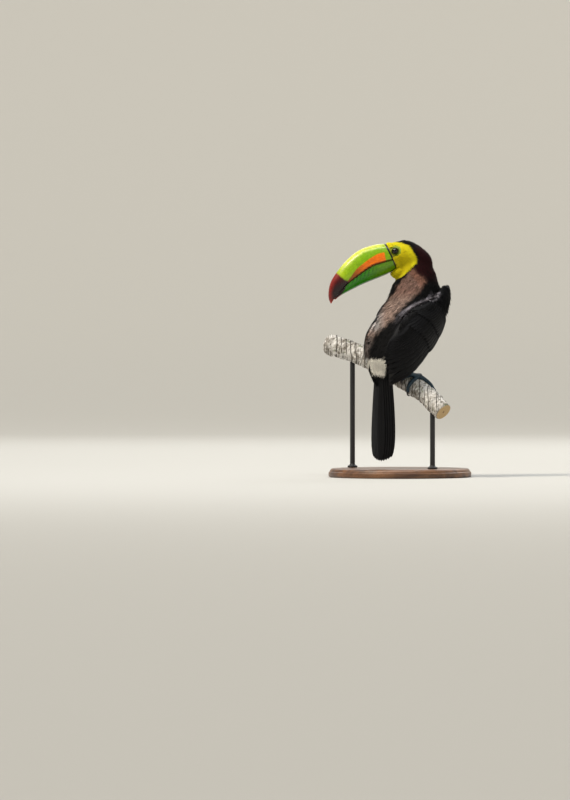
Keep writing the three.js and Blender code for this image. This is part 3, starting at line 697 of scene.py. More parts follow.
# Smoothing wears away the thin edge of the chin, so the skin there is pushed out again.
for _ in range(2):
    local = to_local(HEAD, skin_verts)
    chin = (smooth(local[:, 0], 8, 16) * (1 - smooth(local[:, 2], -4, 0))
            * smooth(skin_verts[:, 2], 272, 277))
    short = np.zeros(len(skin_verts))
    for i in np.nonzero(chin > 0)[0]:
        hit = flesh_tree.ray_cast(Vector(skin_verts[i]), Vector(outward[i]), 12)
        if hit[0] is not None:
            short[i] = max(hit[3] - CHIN_DEPTH, 0)
    skin_verts = skin_verts + outward * averaged(short * chin, skin_edges, 2)
skin_tree = BVHTree.FromPolygons(skin_verts.tolist(), skin_faces)
skin_quads = np.array([f if len(f) == 4 else f + f[-1:] for f in skin_faces])
flat_normals = unit(np.cross(skin_verts[skin_quads[:, 2]] - skin_verts[skin_quads[:, 0]],
                             skin_verts[skin_quads[:, 3]] - skin_verts[skin_quads[:, 1]]))
vertex_normals = np.zeros_like(skin_verts)
for k in range(4):
    np.add.at(vertex_normals, skin_quads[:, k], flat_normals)
soft_normals = unit(unit(averaged(vertex_normals, skin_edges, 10))[skin_quads].mean(1))

# ------------------------------------------------------------------ the lie of the coat
HX, HY, HZ = HEAD[1]
BX = BODY[1][0]
DOWN = np.array([0, 0, -1.0])
LIE = [  # place, direction, reach
    (to_world(HEAD, (20, 0, 15)), -HX, 16),
    (to_world(HEAD, (4, 0, 28)), -HX - 0.1 * HZ, 16),
    (to_world(HEAD, (-14, 0, 18)), -HX - 0.7 * HZ, 16),
    (to_world(HEAD, (-24, 0, -4)), -0.3 * HX + DOWN, 16),
    (to_world(HEAD, (0, 18, 0)), -HX - 0.6 * HZ, 14),
    (to_world(HEAD, (0, -18, 0)), -HX - 0.6 * HZ, 14),
    (to_world(HEAD, (18, 0, -12)), -0.5 * HX + DOWN, 14),
    (np.array([23, 28, 284]), DOWN, 18),
    (np.array([24, 25, 268]), DOWN - 0.1 * UP, 20),
    (to_world(BODY, (62, 0, 20)), -BX, 26),
    (to_world(BODY, (62, 0, -20)), -BX, 26),
    (to_world(BODY, (30, 0, 0)), -BX, 40),
    (to_world(BODY, (-10, 0, 0)), -BX, 40),
    (to_world(BODY, (-45, 0, 0)), -BX, 30),
    (to_world(BODY, (87, 41, -2)), BODY[1][2] - 0.25 * BX, 8),
    (to_world(BODY, (87, -41, -2)), BODY[1][2] - 0.25 * BX, 8),
    (TAIL_TOP + 6 * UP, DOWN, 16),
    (TAIL_TOP - 12 * UP, DOWN, 16),
]
LIE_PLACE = np.array([place for place, _, _ in LIE])
LIE_WAY = unit(np.array([way for _, way, _ in LIE]))
LIE_REACH = np.array([reach for _, _, reach in LIE])


def lie(points, normals):
    """The way the feathers point, along the surface."""
    gap = np.linalg.norm(points[:, None] - LIE_PLACE[None], axis=2) / LIE_REACH
    weight = np.exp(-gap**2) + 1e-12
    return unit(flat(unit(weight @ LIE_WAY), normals))


def on_skin(points):
    """The nearest places on the skin, with its softened normals there."""
    places = np.empty((len(points), 3))
    normals = np.empty((len(points), 3))
    for i, p in enumerate(points):
        place, _, index, _ = skin_tree.find_nearest(p)
        places[i] = place
        normals[i] = soft_normals[index]
    return places, normals


# ------------------------------------------------------------------ feathers
ROWS = np.array([0, 0.3, 0.58, 0.8, 0.93, 1.0])
PATCH = 0.003  # width of one feather's patch in the map that takes its colours
ROUNDED = 0.35  # how far a vane's shading turns away from its middle, as if it were domed
BARB_FACES = [[0, 2, 3], [2, 1, 3], [1, 0, 3], [0, 1, 2]]
BARB_PATCH = np.array([[-0.3, -0.5], [0.3, -0.5], [0, -0.4], [0, 0.5]])


def outline(s, tip):
    """Half width of a vane along its length, as a share of its widest; tip is its bluntness."""
    return (0.3 + 0.7 * np.sin(np.pi * np.minimum(s * 1.25, 1) / 2) ** 1.2) * (1 - s**tip) ** 0.55


def vane_mesh(mid, side, normal, half, rows, tip, thickness, columns, camber):
    """Closed thin vanes. mid, side and normal are (count, rows, 3), half is (count,)."""
    n = mid.shape[1]
    share = np.linspace(-1, 1, 2 * columns + 1)
    width = (half[:, None] * np.maximum(outline(rows, tip), 0.02)[None])[:, :, None, None]
    top = (mid[:, :, None] + side[:, :, None] * width * share[None, None, :, None]
           - normal[:, :, None] * width * camber * (share**2)[None, None, :, None])
    inner = slice(1, -1)
    bottom = top[:, :, inner] - normal[:, :, None] * thickness
    ring = np.concatenate([top, bottom[:, :, ::-1]], axis=2)
    sides = ring.shape[2]
    verts = ring.reshape(-1, 3)
    wall = grid_faces(n, sides)[:, ::-1]
    caps = []
    for base, order in ((0, -1), ((n - 1) * sides, 1)):
        upper = [base + k for k in range(2 * columns + 1)]
        lower = [upper[0]] + [base + sides - k for k in range(1, 2 * columns)] + [upper[-1]]
        caps += [list(dict.fromkeys([upper[k], upper[k + 1], lower[k + 1], lower[k]]))[::order]
                 for k in range(2 * columns)]
    across = np.concatenate([share, share[inner][::-1]])
    return verts, wall, caps, sides, across


class Coat:
    """Feathers gathered for one piece."""

    def __init__(self):
        self.verts, self.faces, self.tints, self.patches, self.vanes = [], [], [], [], []
        self.shading = []
        self.size = 0

    def add(self, verts, faces_each, tints, root_uv, patch, vane, shading=None):
        """Adds one equal mesh for each tint, with faces_each as the faces of the first.

        patch holds each point's place in its feather's patch of the colour map, in patch
        widths from root_uv, and vane its place on the vane in millimetres."""
        start = self.size + np.arange(len(tints)) * len(patch)
        for size in sorted({len(f) for f in faces_each}):
            block = np.array([f for f in faces_each if len(f) == size])
            self.faces += (block[None] + start[:, None, None]).reshape(-1, size).tolist()
        self.verts.append(verts.reshape(-1, 3))
        self.tints.append(np.repeat(tints, len(patch), axis=0))
        self.patches.append((root_uv[:, None] + PATCH * patch[None]).reshape(-1, 2))
        self.vanes.append(vane.reshape(-1, 2))
        if shading is not None:
            self.shading.append(shading.reshape(-1, 3))
        self.size += len(self.verts[-1])

    def make(self, name, material, slot_name, replaced=()):
        obj = piece(name, np.vstack(self.verts), self.faces, material, slot_name, replaced)
        attribute(obj, "tint", np.vstack(self.tints))
        uv_map(obj, "OFBake", np.clip(np.vstack(self.patches), 0, 1))
        uv_map(obj, "vane", np.vstack(self.vanes))
        if self.shading:
            obj.data.normals_split_custom_set_from_vertices(np.vstack(self.shading).tolist())
        return obj


def unwrap(part, p, up, start, span):
    """Where feathers rooted at p take their colours, on a map rolled round part's long axis."""
    local = to_local(part, p)
    turn = np.arctan2(local[:, 1], local[:, 2] - up) / (2 * np.pi) + 0.5
    reach = np.clip((local[:, 0] + start) / span, 0, 1)
    return 0.02 + 0.96 * np.column_stack([turn, reach])


def unwrap_body(p):
    return unwrap(BODY, p, 0, 230, 350)


def unwrap_head(p):
    return unwrap(HEAD, p, 8, 60, 90)


def put_vanes(coat, mid, side, normal, half, length, tints, root_uv, rows, tip, thickness,
              columns=1, camber=0.3, soft=False):
    """Adds one set of vanes, each with its patch of the colour map."""
    verts, wall, caps, sides, across = vane_mesh(mid, side, normal, half, rows, tip, thickness,
                                                columns, camber)
    count, n = mid.shape[:2]
    s = np.repeat(rows, sides)
    c = np.tile(across, n)
    vane = np.stack([c[None] * half[:, None], s[None] * length[:, None]], axis=2)
    vane[..., 1] += chance.uniform(0, 50, (count, 1))
    shading = None
    if soft:
        domed = ROUNDED * across[None, None, :, None] * side[:, :, None]
        shading = unit(normal[:, :, None] + domed)
    coat.add(verts, wall.tolist() + caps, tints, root_uv, np.column_stack([c * 0.5, s - 0.5]),
             vane, shading)


def barbs(coat, mid, side, normal, half, length, tints, root_uv, each):
    """Loose barb ends past each vane's edge: thin three-sided spikes."""
    count = len(mid)
    place = np.linspace(-1, 1, each)
    k = np.minimum((len(ROWS) - 2 - np.abs(place) * 2.4).astype(int), len(ROWS) - 2)
    for row, aside in zip(np.maximum(k, 1), place):
        at, across, up = mid[:, row], side[:, row], normal[:, row]
        root = at + across * (half * aside * 0.55)[:, None]
        splay = half * aside + half * chance.normal(0, 0.22, count)
        way = unit((mid[:, -1] - at) + across * splay[:, None])
        reach = length * (0.30 + 0.10 * (1 - abs(aside))) * chance.uniform(0.75, 1.25, count)
        end = root + way * reach[:, None]
        end = end + normal[:, -1] * chance.uniform(-0.1, 0.35, count)[:, None]
        wide = (0.14 * half + 0.05)[:, None]
        verts = np.stack([root + across * wide, root - across * wide, root + up * 0.15, end], 1)
        vane = np.stack([np.array([-0.2, 0.2, 0, 0]) * half[:, None],
                         np.array([0, 0, 0, 1]) * reach[:, None]], axis=2)
        shading = unit(up + ROUNDED * aside * across)
        coat.add(verts, BARB_FACES, tints, root_uv, BARB_PATCH, vane,
                 np.repeat(shading, 4, axis=0))


def follow_skin(roots, normals, length, turn, low, high, splay):
    """Middle lines that run along the skin, from height low at the root to high at the tip."""
    mids, norms, sides = [], [], []
    at, n = roots, normals
    way = lie(at, n)
    across = unit(np.cross(n, way))
    way = unit(way * np.cos(turn)[:, None] + across * np.sin(turn)[:, None])
    for i, s in enumerate(ROWS):
        if i:
            at = at + way * (length * (s - ROWS[i - 1]))[:, None]
            at, n = on_skin(at)
            way = unit(0.5 * flat(way, n) + 0.5 * lie(at, n))
        height = low + (high - low) * s**1.3
        mids.append(at + n * (height + splay * s**3)[:, None])
        norms.append(n)
        sides.append(unit(np.cross(n, way)))
    return np.stack(mids, 1), np.stack(sides, 1), np.stack(norms, 1)


def spaced(points, gap):
    """Indices of points, in their order, that stand at least gap apart."""
    cells, kept = {}, []
    around = list(itertools.product((-1, 0, 1), repeat=3))
    keys = np.floor(points / gap).astype(int).tolist()
    for i, (point, (x, y, z)) in enumerate(zip(points.tolist(), keys)):
        if not any((q[0] - point[0])**2 + (q[1] - point[1])**2 + (q[2] - point[2])**2 < gap * gap
                   for dx, dy, dz in around for q in cells.get((x + dx, y + dy, z + dz), ())):
            cells.setdefault((x, y, z), []).append(point)
            kept.append(i)
    return np.array(kept, int)


def skin_samples(count):
    """Even random places on the skin, with normals and the solid each lies under."""
    corner = skin_verts[skin_quads]
    across, down = corner[:, 2] - corner[:, 0], corner[:, 3] - corner[:, 1]
    area = np.linalg.norm(np.cross(across, down), axis=1)
    area = area * (1 + 3 * smooth(corner[:, 0, 2], 275, 285))  # the head has the most feathers
    pick = chance.choice(len(area), count, p=area / area.sum())
    u, v = chance.random((2, count, 1))
    q = corner[pick]
    points = (1 - u) * ((1 - v) * q[:, 0] + v * q[:, 3]) + u * ((1 - v) * q[:, 1] + v * q[:, 2])
    normals = soft_normals[pick]
    owner = np.array([flesh_owner[flesh_tree.find_nearest(p)[2]] for p in points])
    return points, normals, owner


# ------------------------------------------------------------------ branch
PERCH_KEYS = [[-112, 189], [-53, 170], [-10, 147], [36, 116], [52, 100], [62, 90]]
PERCH_ENDS = (-98, 60)
PERCH_RADIUS = 14.5
PERCH_MIDDLE = np.array([1, -10, 0]) + 7 * AHEAD
ACROSS = -LEFT[0]  # how far X moves for each millimetre along the branch in plan


def perch_centre(x):
    x = np.atleast_1d(np.asarray(x, float))
    y = PERCH_MIDDLE[1] - LEFT[1] * (x - PERCH_MIDDLE[0]) / ACROSS
    return np.column_stack([x, y, keyed(PERCH_KEYS, x)[:, 0]])


def perch_axes(x):
    along = unit(perch_centre(np.asarray(x) + 1.0) - perch_centre(np.asarray(x) - 1.0))
    over = unit(UP - along * along[:, 2:])
    return along, over, np.cross(over, along)


def perch_radius(x):
    taper = 1 - 0.0006 * (x - PERCH_ENDS[0])
    return PERCH_RADIUS * taper + 0.35 * np.sin(x * 0.31) + 0.3 * np.sin(x * 0.13 + 1)


def on_perch(x, turn, lift):
    """Places at a turn in degrees round the branch from its top, lifted off its bark."""
    x, turn, lift = (np.atleast_1d(np.asarray(v, float)) for v in (x, turn, lift))
    _, over, ahead = perch_axes(x)
    angle = np.radians(turn)
    out = over * np.cos(angle)[:, None] + ahead * np.sin(angle)[:, None]
    return perch_centre(x) + out * (perch_radius(x) + lift)[:, None]


def branch_relief(x, turn):
    """Height of the bark: leaf-scar rings, ripples between them, cracks and lichen crust."""
    relief = np.zeros_like(x)
    for place, tall, wide in SCARS:
        wave = place + 1.1 * np.sin(turn + place) + 0.5 * np.sin(3 * turn - place)
        off = (x - wave) / wide
        relief += tall * (np.exp(-off**2) - 0.7 * np.exp(-((off - 1.9) / 0.7) ** 2))
    ripples = 0.24 * np.sin(x * 2.1 + 0.8 * np.sin(turn * 2) + 2 * wobble(x / 9, turn))
    crust = 0.3 * np.maximum(wobble(x / 3.1, turn * 4.1, 1.0) - 0.15, 0)
    pits = -0.35 * np.maximum(wobble(x / 1.7, turn * 7.3, 2.0) - 0.45, 0)
    return relief + ripples + crust + pits - 0.15


branch_chance = np.random.default_rng(5)
SCARS = []
scar_at = PERCH_ENDS[0] + 6.0
while scar_at < PERCH_ENDS[1] - 4:
    SCARS.append((scar_at, branch_chance.uniform(0.4, 0.8), branch_chance.uniform(0.9, 1.5)))
    scar_at += branch_chance.uniform(5, 12)


def make_branch():
    """The cut branch: bark in relief all round, and a sawn face at each end."""
    rows, sides, cap = 420, 96, 9
    x = np.linspace(*PERCH_ENDS, rows)
    turn = turns(sides)
    grid_x, grid_turn = np.meshgrid(x, turn, indexing="ij")
    flat_x, flat_turn = grid_x.ravel(), grid_turn.ravel()
    edge = np.minimum(flat_x - PERCH_ENDS[0], PERCH_ENDS[1] - flat_x)
    lift = branch_relief(flat_x, flat_turn) * smooth(edge, 0, 1.5)
    lift = lift - 0.9 * (1 - smooth(edge, 0, 1.0))
    rings = on_perch(flat_x, np.degrees(flat_turn), lift).reshape(rows, sides, 3)
    blocks = [rings]
    for end, first in ((0, True), (-1, False)):
        middle = rings[end].mean(0)
        along = perch_axes(PERCH_ENDS[0 if first else 1])[0][0] * (-1 if first else 1)
        shares = np.linspace(0.97, 0.04, cap)
        saw = 0.12 * np.sin(np.arange(cap) * 2.2)
        layers = np.stack([middle + (rings[end] - middle) * s + along * (0.15 + w)
                           for s, w in zip(shares, saw)])
        blocks = [layers[::-1]] + blocks if first else blocks + [layers]
    whole = np.concatenate(blocks)
    verts, faces = sweep(whole)
    branch = piece("branch", verts, faces, bark, "bark", ["perch"], tidy=True)
    rows_all = len(whole)
    row = np.concatenate([np.repeat(np.arange(rows_all), sides), [0, rows_all - 1]])
    sawn = ((row < cap) | (row >= rows_all - cap)).astype(float)
    end_x = np.where(verts[:, 0] < -20, PERCH_ENDS[0], PERCH_ENDS[1])
    spread = np.linalg.norm(verts - perch_centre(end_x), axis=1)
    around = np.concatenate([np.tile(turn, rows_all), [0, 0]])
    attribute(branch, "sawn", sawn)
    attribute(branch, "spread", spread)
    attribute(branch, "scar", branch_relief(verts[:, 0], around))
    return branch


# ------------------------------------------------------------------ feet and claws
FOOT_SPREAD = 20  # how far each foot stands from the middle of the bird
FOOT_VOXEL = 0.5
TOE_RADIUS = 3.1
SHANK = 27
SCUTE = 2.3  # length of one scale on top of a toe
TOES = {  # turn round the branch, slide along it, and the claw's last turn and slide
    "front_outer": ([8, 30, 52, 68], [2, 9, 16, 21], (78, 25)),
    "front_inner": ([12, 48, 84, 112], [-3, -7, -9, -10], (138, -10)),
    "rear_inner": ([-10, -34, -58, -76], [-4, -8, -11, -12], (-100, -9)),
    "rear_outer": ([-14, -50, -88, -118], [0, 1, 1, 2], (-146, 4)),
}


def foot_x(side):
    return PERCH_MIDDLE[0] - side * FOOT_SPREAD * ACROSS


def toe_line(side, toe, t):
    turn, slide, _ = TOES[toe]
    x = foot_x(side) - side * np.array([0] + slide) * ACROSS
    lift = np.array([TOE_RADIUS + 1.2] + [TOE_RADIUS - 0.3] * 4)
    points = [on_perch(a, b, c)[0] for a, b, c in zip(x, [turn[0] * 0.3] + turn, lift)]
    return curve(points, t)


def perch_out(points):
    """Direction away from the branch's middle line."""
    along, _, _ = perch_axes(points[:, 0])
    off = points - perch_centre(points[:, 0])
    near = perch_centre(points[:, 0] + (off * along).sum(1) * along[:, 0])
    along, _, _ = perch_axes(near[:, 0])
    off = points - near
    return unit(flat(off, along))


def rings_round(line, sides, tall, wide):
    """Rings round a line beside the branch: tall away from its middle, and wide along it."""
    along = unit(np.gradient(line, axis=0))
    out = unit(flat(perch_out(line), along))
    across = np.cross(along, out)
    angle = turns(sides)
    return (line[:, None] + out[:, None] * (tall * np.cos(angle))[..., None]
            + across[:, None] * (wide * np.sin(angle))[..., None])


def scaly_tube(line, radius, sides):
    """A toe or shank: overlapping scales on top, soft pads beneath."""
    reach = run(line)
    up = np.cos(turns(sides))[None]
    scale = 0.26 * ((reach / SCUTE) % 1)[:, None] * smooth(up, -0.1, 0.5)
    pad = 0.32 * np.sin(np.pi * reach / 6.2)[:, None] ** 2 * smooth(-up, 0.2, 0.8)
    r = radius[:, None] + scale + pad - 0.12
    return rings_round(line, sides, r, r * 1.02)


def one_foot(side):
    """All of one foot as a single close mesh, and the middle lines its scales follow."""
    tubes, lines, sides = [], [], 28
    t = np.linspace(0, 1, 70)
    for toe in TOES:
        line = toe_line(side, toe, t)
        radius = TOE_RADIUS * (1.05 - 0.3 * t) + 0.2 * np.cos(t * 19)
        tip = np.sqrt(np.maximum(1 - ((t - 0.95) / 0.05) ** 2, 0.02))
        radius = radius * np.where(t > 0.95, tip, 1)
        tubes.append(sweep(scaly_tube(line, radius, sides)))
        lines.append(line)
    foot = on_perch(foot_x(side), 0, TOE_RADIUS + 0.6)[0]
    heel = foot - SHANK * AHEAD + 2 * side * LEFT + 5 * UP
    line = curve([foot, foot * 0.5 + heel * 0.5 - 0.5 * UP, heel], t)
    tubes.append(sweep(scaly_tube(line, 3.4 - 0.8 * np.sin(np.pi * t), sides)))
    lines.append(line)
    palm = np.linspace(0, np.pi, 16)
    ring = turns(24)
    ball = np.stack([np.stack([np.cos(a) * np.ones(24), np.sin(a) * np.cos(ring),
                               np.sin(a) * np.sin(ring)], axis=1) for a in palm[1:-1]])
    along, over, ahead = (v[0] for v in perch_axes(foot_x(side)))
    shape = np.stack([along * 4.6, ahead * 5.4, over * 3.6])
    tubes.append(sweep(ball @ shape + foot - over * 0.4))
    verts, faces = joined(tubes)
    mesh = bpy.data.meshes.new("foot_work")
    mesh.from_pydata((verts * MM).tolist(), [], faces)
    return *evened(mesh, FOOT_VOXEL, 3)[:2], lines


def foot_tint(verts, lines):
    """Blue-grey scales, darker in uneven patches and in the joints between them."""
    places = np.vstack(lines)
    reach = np.concatenate([run(line) for line in lines])
    nearest = np.array([np.argmin(((places - v) ** 2).sum(1)) for v in verts])
    phase = (reach[nearest] / SCUTE) % 1
    joint = np.exp(-(np.minimum(phase, 1 - phase) / 0.13) ** 2)
    patchy = 0.5 + 0.5 * wobble(verts[:, 0] / 2.2, verts[:, 1] / 2.2, verts[:, 2] / 2.2)
    return blend(blend(np.tile(FOOT_BLUE, (len(verts), 1)), FOOT_DARK, 0.45 * patchy), FOOT_DARK,
                 0.75 * joint)


def make_claws(side, word):
    """Four curved claws, each narrower than it is tall, from the ends of the toes."""
    x = foot_x(side)
    for toe, (turn, slide, (last_turn, last_slide)) in TOES.items():
        t = np.array([-0.12, 0.12, 0.4, 0.7, 1.0])
        points = on_perch(x - side * (slide[-1] + (last_slide - slide[-1]) * t) * ACROSS,
                          turn[-1] + (last_turn - turn[-1]) * t,
                          2.6 - 1.4 * t + 1.6 * np.sin(np.pi * np.clip(t, 0, 1)))
        share = np.linspace(0, 1, 26)
        line = curve(points, share)
        radius = (1.9 * np.maximum(1 - share, 0) ** 0.75 + 0.12)[:, None]
        piece(f"talon_{word}_{toe}", *sweep(rings_round(line, 20, radius * 1.12, radius * 0.8)),
              claw_horn, "claw", [f"claw_{word}_{toe}"], tidy=True)


# ------------------------------------------------------------------ bill
# Forward and up from the middle of the head: the ridge, the cutting edge and the chin line.
RIDGE = [[22.4, 33.5], [38, 38.6], [60, 40.6], [81, 35.6], [102, 25.8], [116, 16],
         [124, 5], [127.5, -4], [127.6, -10.6]]
EDGE = [[22.4, 9], [36, 11.6], [52, 13.6], [66, 12], [80, 9], [94, 5.6], [108, 0], [119, -5],
        [126.6, -10.4]]
CHIN = [[22.4, -4.2], [36, -6.2], [50, -6], [64, -5.2], [78, -4.7], [92, -5], [103, -5.4],
        [112, -6.2], [119, -8]]
BILL_WIDTH = [[0, 16.2], [0.2, 15.6], [0.4, 14], [0.6, 11.2], [0.8, 7.4], [0.92, 4.2], [1, 0.9]]
LIP = 0.12  # each half of the bill stands this far from the line where they meet
BLAZE_TOP = [[26, 22], [36, 25], [44.6, 25.2], [59.7, 22.6], [75.2, 18.5], [86.2, 12.6],
             [95.6, 7.3], [106, 0]]


def make_bill(name, crest_line, reach, narrow, bulge, way, node):
    """Half a bill: the horn from the cutting edge to the ridge or chin, and its inner face."""
    rows, around, inner = 230, 64, 11
    t = np.linspace(0, 1, rows)
    crest = curve(crest_line, t)
    edge = curve(EDGE, t * reach) + np.array([0, way * LIP])
    width = keyed(BILL_WIDTH, t * reach)[:, 0] * narrow
    rim = 0.3 * np.exp(-((edge[:, 0] - 23.6) / 1.3) ** 2)
    angle = np.linspace(0, np.pi, around)
    share = np.sin(angle) ** bulge
    keel = 1 - 0.2 * smooth(share, 0.9, 1.0)
    y = np.sign(np.cos(angle)) * np.abs(np.cos(angle)) ** 0.8 * keel
    notch = (edge[:, 0] / TOOTH) % 1
    notch = 1.1 * (notch - 0.5) * smooth(edge[:, 0], 36, 52) * (1 - smooth(edge[:, 0], 100, 112))
    fold = np.exp(-(share / 0.09) ** 2)
    plane = edge[:, None] + (crest - edge)[:, None] * share[None, :, None]
    groove = np.exp(-((share - 0.16) / 0.05) ** 2) * smooth(t, 0.1, 0.25)[:, None]
    shell = np.stack([
        plane[..., 0], (width + rim)[:, None] * y[None] * (1 - 0.025 * groove),
        plane[..., 1] + notch[:, None] * fold[None] + way * rim[:, None] * share[None]], axis=2)
    span = np.linspace(-0.86, 0.86, inner)
    depth_in = np.minimum(3.0, 0.25 * np.abs(crest - edge)[:, 1])
    floor = np.stack([
        edge[:, :1] + 0 * span, width[:, None] * span[None],
        edge[:, 1:] + way * (0.25 + depth_in[:, None] * (1 - span**2)[None])], axis=2)
    rings = np.concatenate([shell, floor], axis=1)
    outline_at_root = rings[0, :around].copy()
    middle = rings[0].mean(0)
    root = [middle + (rings[0] - middle) * (1 - 0.012 * back**1.5)
            - np.array([back, 0, 0.4 * back]) for back in (4.5, 3.0, 1.5)]
    rings = np.concatenate([np.array(root), rings])
    rows = len(rings)
    verts, faces = sweep(rings)
    obj = piece(name, to_world(HEAD, verts), faces, bill_horn, "bill", [node], tidy=True)
    all_share = np.append(np.tile(np.append(share, np.zeros(inner)), rows), [0, 1])
    inside = np.append(np.tile(np.arange(around + inner) >= around, rows), [0, 0])
    u, w = verts[:, 0], verts[:, 2]
    upper = way > 0
    drop = np.where(upper, u - (93.9 + (w - 7.9) * 0.5), u - (95 - (w - 5.6) * 1.3))
    blaze = np.minimum(keyed(BLAZE_TOP, u)[:, 0] - w, u - (33.1 - (w - 11.2) * 0.235))
    for key, values in {"ahead": u, "height": w, "share": all_share, "inside": inside,
                        "drop": drop, "blaze": blaze if upper else np.full(len(u), -20.0),
                        "lower": np.full(len(u), 0.0 if upper else 1.0)}.items():
        attribute(obj, key, values)
    return outline_at_root


# ------------------------------------------------------------------ eyes and lids
LID_OPENING = 4.3
LID_REACH = 9.2


def eye_axes(side):
    """Centre of an eye, the way it looks, and two directions across it."""
    centre = to_world(HEAD, (EYE_PLACE[0], side * EYE_PLACE[1], EYE_PLACE[2]))
    look = unit(side * HY + 0.16 * HX + 0.05 * HZ)
    up = unit(HZ - (HZ @ look) * look)
    return centre, look, np.cross(look, up) * side, up


def make_eye(side, word):
    """An eyeball, with its cornea raised a little in front."""
    centre, look, ahead, up = eye_axes(side)
    rows, sides = 44, 56
    polar = np.linspace(0.02, np.pi - 0.02, rows)
    angle = turns(sides)
    radius = EYE_RADIUS + 0.45 * np.exp(-(polar / 0.42) ** 2)
    rings = (centre + look * (radius * np.cos(polar))[:, None, None]
             + (ahead * np.cos(angle)[:, None] + up * np.sin(angle)[:, None])[None]
             * (radius * np.sin(polar))[:, None, None])
    verts, faces = sweep(rings)
    obj = piece(f"eyeball_{word}", verts, faces, eye_gloss, "eye", [f"eye_{word}"], tidy=True)
    off = verts - centre
    attribute(obj, "off_axis", np.degrees(np.arccos(np.clip(unit(off) @ look, -1, 1))))
    attribute(obj, "round_axis", np.arctan2(off @ up, off @ ahead))
    return obj


def lids(side):
    """The bare ring: a rolled lid edge, and wrinkled skin from there out to the feathers."""
    centre, look, ahead, up = eye_axes(side)
    rows, sides = 26, 120
    angle = turns(sides)
    out = np.linspace(0, 1, rows)
    ring = LID_OPENING + (LID_REACH - LID_OPENING) * out
    across = ahead * np.cos(angle)[:, None] * 1.1 + up * np.sin(angle)[:, None] * 0.9
    below = 1 + 0.1 * smooth(-np.sin(angle), 0, 1)
    verts = np.empty((rows + 1, sides, 3))
    for i, r in enumerate(ring):
        flat = centre + across * (r * (1 + (below - 1) * out[i]))[:, None]
        for k in range(sides):
            hit = skin_tree.ray_cast(Vector(flat[k] + 14 * look), Vector(-look), 30)
            verts[i, k] = hit[0] if hit[0] is not None else flat[k]
        ball = math.sqrt(max(EYE_RADIUS**2 - min(r, 5.0) ** 2, 0))
        edge = centre + across * r + look * (ball + 0.35)
        hold = 1 - smooth(r, LID_OPENING + 0.2, LID_OPENING + 2.4)
        roll = 0.75 * np.exp(-((r - LID_OPENING - 0.75) / 0.5) ** 2)
        furrow = 0.14 * np.cos(3.6 * r + 1.4 * np.sin(5 * angle)) * smooth(r, 5.4, 6.2)
        grain = 0.12 * np.sin(26 * angle + 3 * np.sin(r * 2)) * smooth(r, 5.4, 6.4)
        lift = roll + furrow + grain + 0.55 * (1 - smooth(r, 7.2, 9.0)) - 0.5 * smooth(r, 8.2, 9.2)
        verts[i] = verts[i] * (1 - hold) + edge * hold + look * np.reshape(lift, (-1, 1))
    verts[rows] = centre + across * LID_OPENING * 0.94 + look * (EYE_RADIUS - 2.0)
    order = np.concatenate([[rows], np.arange(rows)])
    flat_verts = verts[order].reshape(-1, 3)
    faces = grid_faces(rows + 1, sides)
    if side > 0:
        faces = faces[:, ::-1]
    share = np.repeat(np.concatenate([[0], out]), sides)
    return flat_verts, faces.tolist(), share


# ------------------------------------------------------------------ wings
# Along the trunk: the inner edge (out, up), the outer edge (out, up) and the bulge between them.
WING = [[-84, 12.5, -15, 12, -18.5, 0.6], [-78, 15.5, -4, 18, -20.5, 3.5],
        [-65, 18.5, 14, 29.5, -23.5, 6], [-46, 21.5, 26, 38.5, -25, 9.5],
        [-25, 23, 31.5, 43, -26, 13], [0, 22.5, 34.5, 46, -26.5, 15], [28, 33, 28, 46.5, -26, 13],
        [50, 42, 15, 46.5, -20, 8], [68, 42, 11.5, 45.5, -15, 6], [80, 41, 8, 44, -10.5, 4],
        [86, 41, 2, 42, -5, 1]]


def wing_chord(station):
    """How wide the folded wing is, from its inner to its outer edge."""
    inner_out, inner_up, outer_out, outer_up, _ = keyed(WING, station).T
    return np.hypot(outer_out - inner_out, outer_up - inner_up)


def tuck(station):
    """How much tighter to the body the left wing lies than the right one."""
    return (3.5 * smooth(-station, 20, 70)
            + 6 * smooth(station, -25, 10) * (1 - smooth(station, 45, 75)))


def from_inner_edge(local):
    """How far a place on a wing lies from the wing's upper inner edge."""
    inner_out, inner_up, outer_out, outer_up, _ = keyed(WING, local[:, 0]).T
    out_way, up_way = outer_out - inner_out, outer_up - inner_up
    out = np.abs(local[:, 1]) + np.where(local[:, 1] > 0, tuck(local[:, 0]), 0)
    return ((out - inner_out) * out_way
            + (local[:, 2] - inner_up) * up_way) / np.hypot(out_way, up_way)


def wing_place(side, station, rise, lift):
    """Places on a folded wing: rise runs from its lower edge, lift stands off its surface."""
    shape = np.shape(station)
    station, rise, lift = (np.broadcast_to(v, shape).ravel() for v in (station, rise, lift))
    inner_out, inner_up, outer_out, outer_up, bulge = keyed(WING, station).T
    chord = wing_chord(station)
    share = 1 - rise / chord
    curl = 1 - (2 * share - 1) ** 2
    off = bulge * np.where(share < 0, 0.35 * curl, curl) + lift
    out = inner_out + (outer_out - inner_out) * share + (inner_up - outer_up) / chord * off
    if side > 0:
        out = out - tuck(station)
    up = inner_up + (outer_up - inner_up) * share + (outer_out - inner_out) / chord * off
    return to_world(BODY, np.column_stack([station, side * out, up])).reshape(*shape, 3)


# How far the wing tips lie over the rump: station, reach past the inner edge on the right, left.
TIP_OVERLAP = [[-90, 0, 0], [-83, 3, -2], [-74, 7, -8], [-64, 10, -12], [-50, 9, -12],
               [-33, 5, -5], [-20, 2, 0]]
LONG_ROWS = np.array([0, 0.12, 0.25, 0.4, 0.55, 0.68, 0.79, 0.88, 0.94, 0.98, 1.0])


TILT = 0.06  # how far each wing feather leans, so that its edge lies on the next one


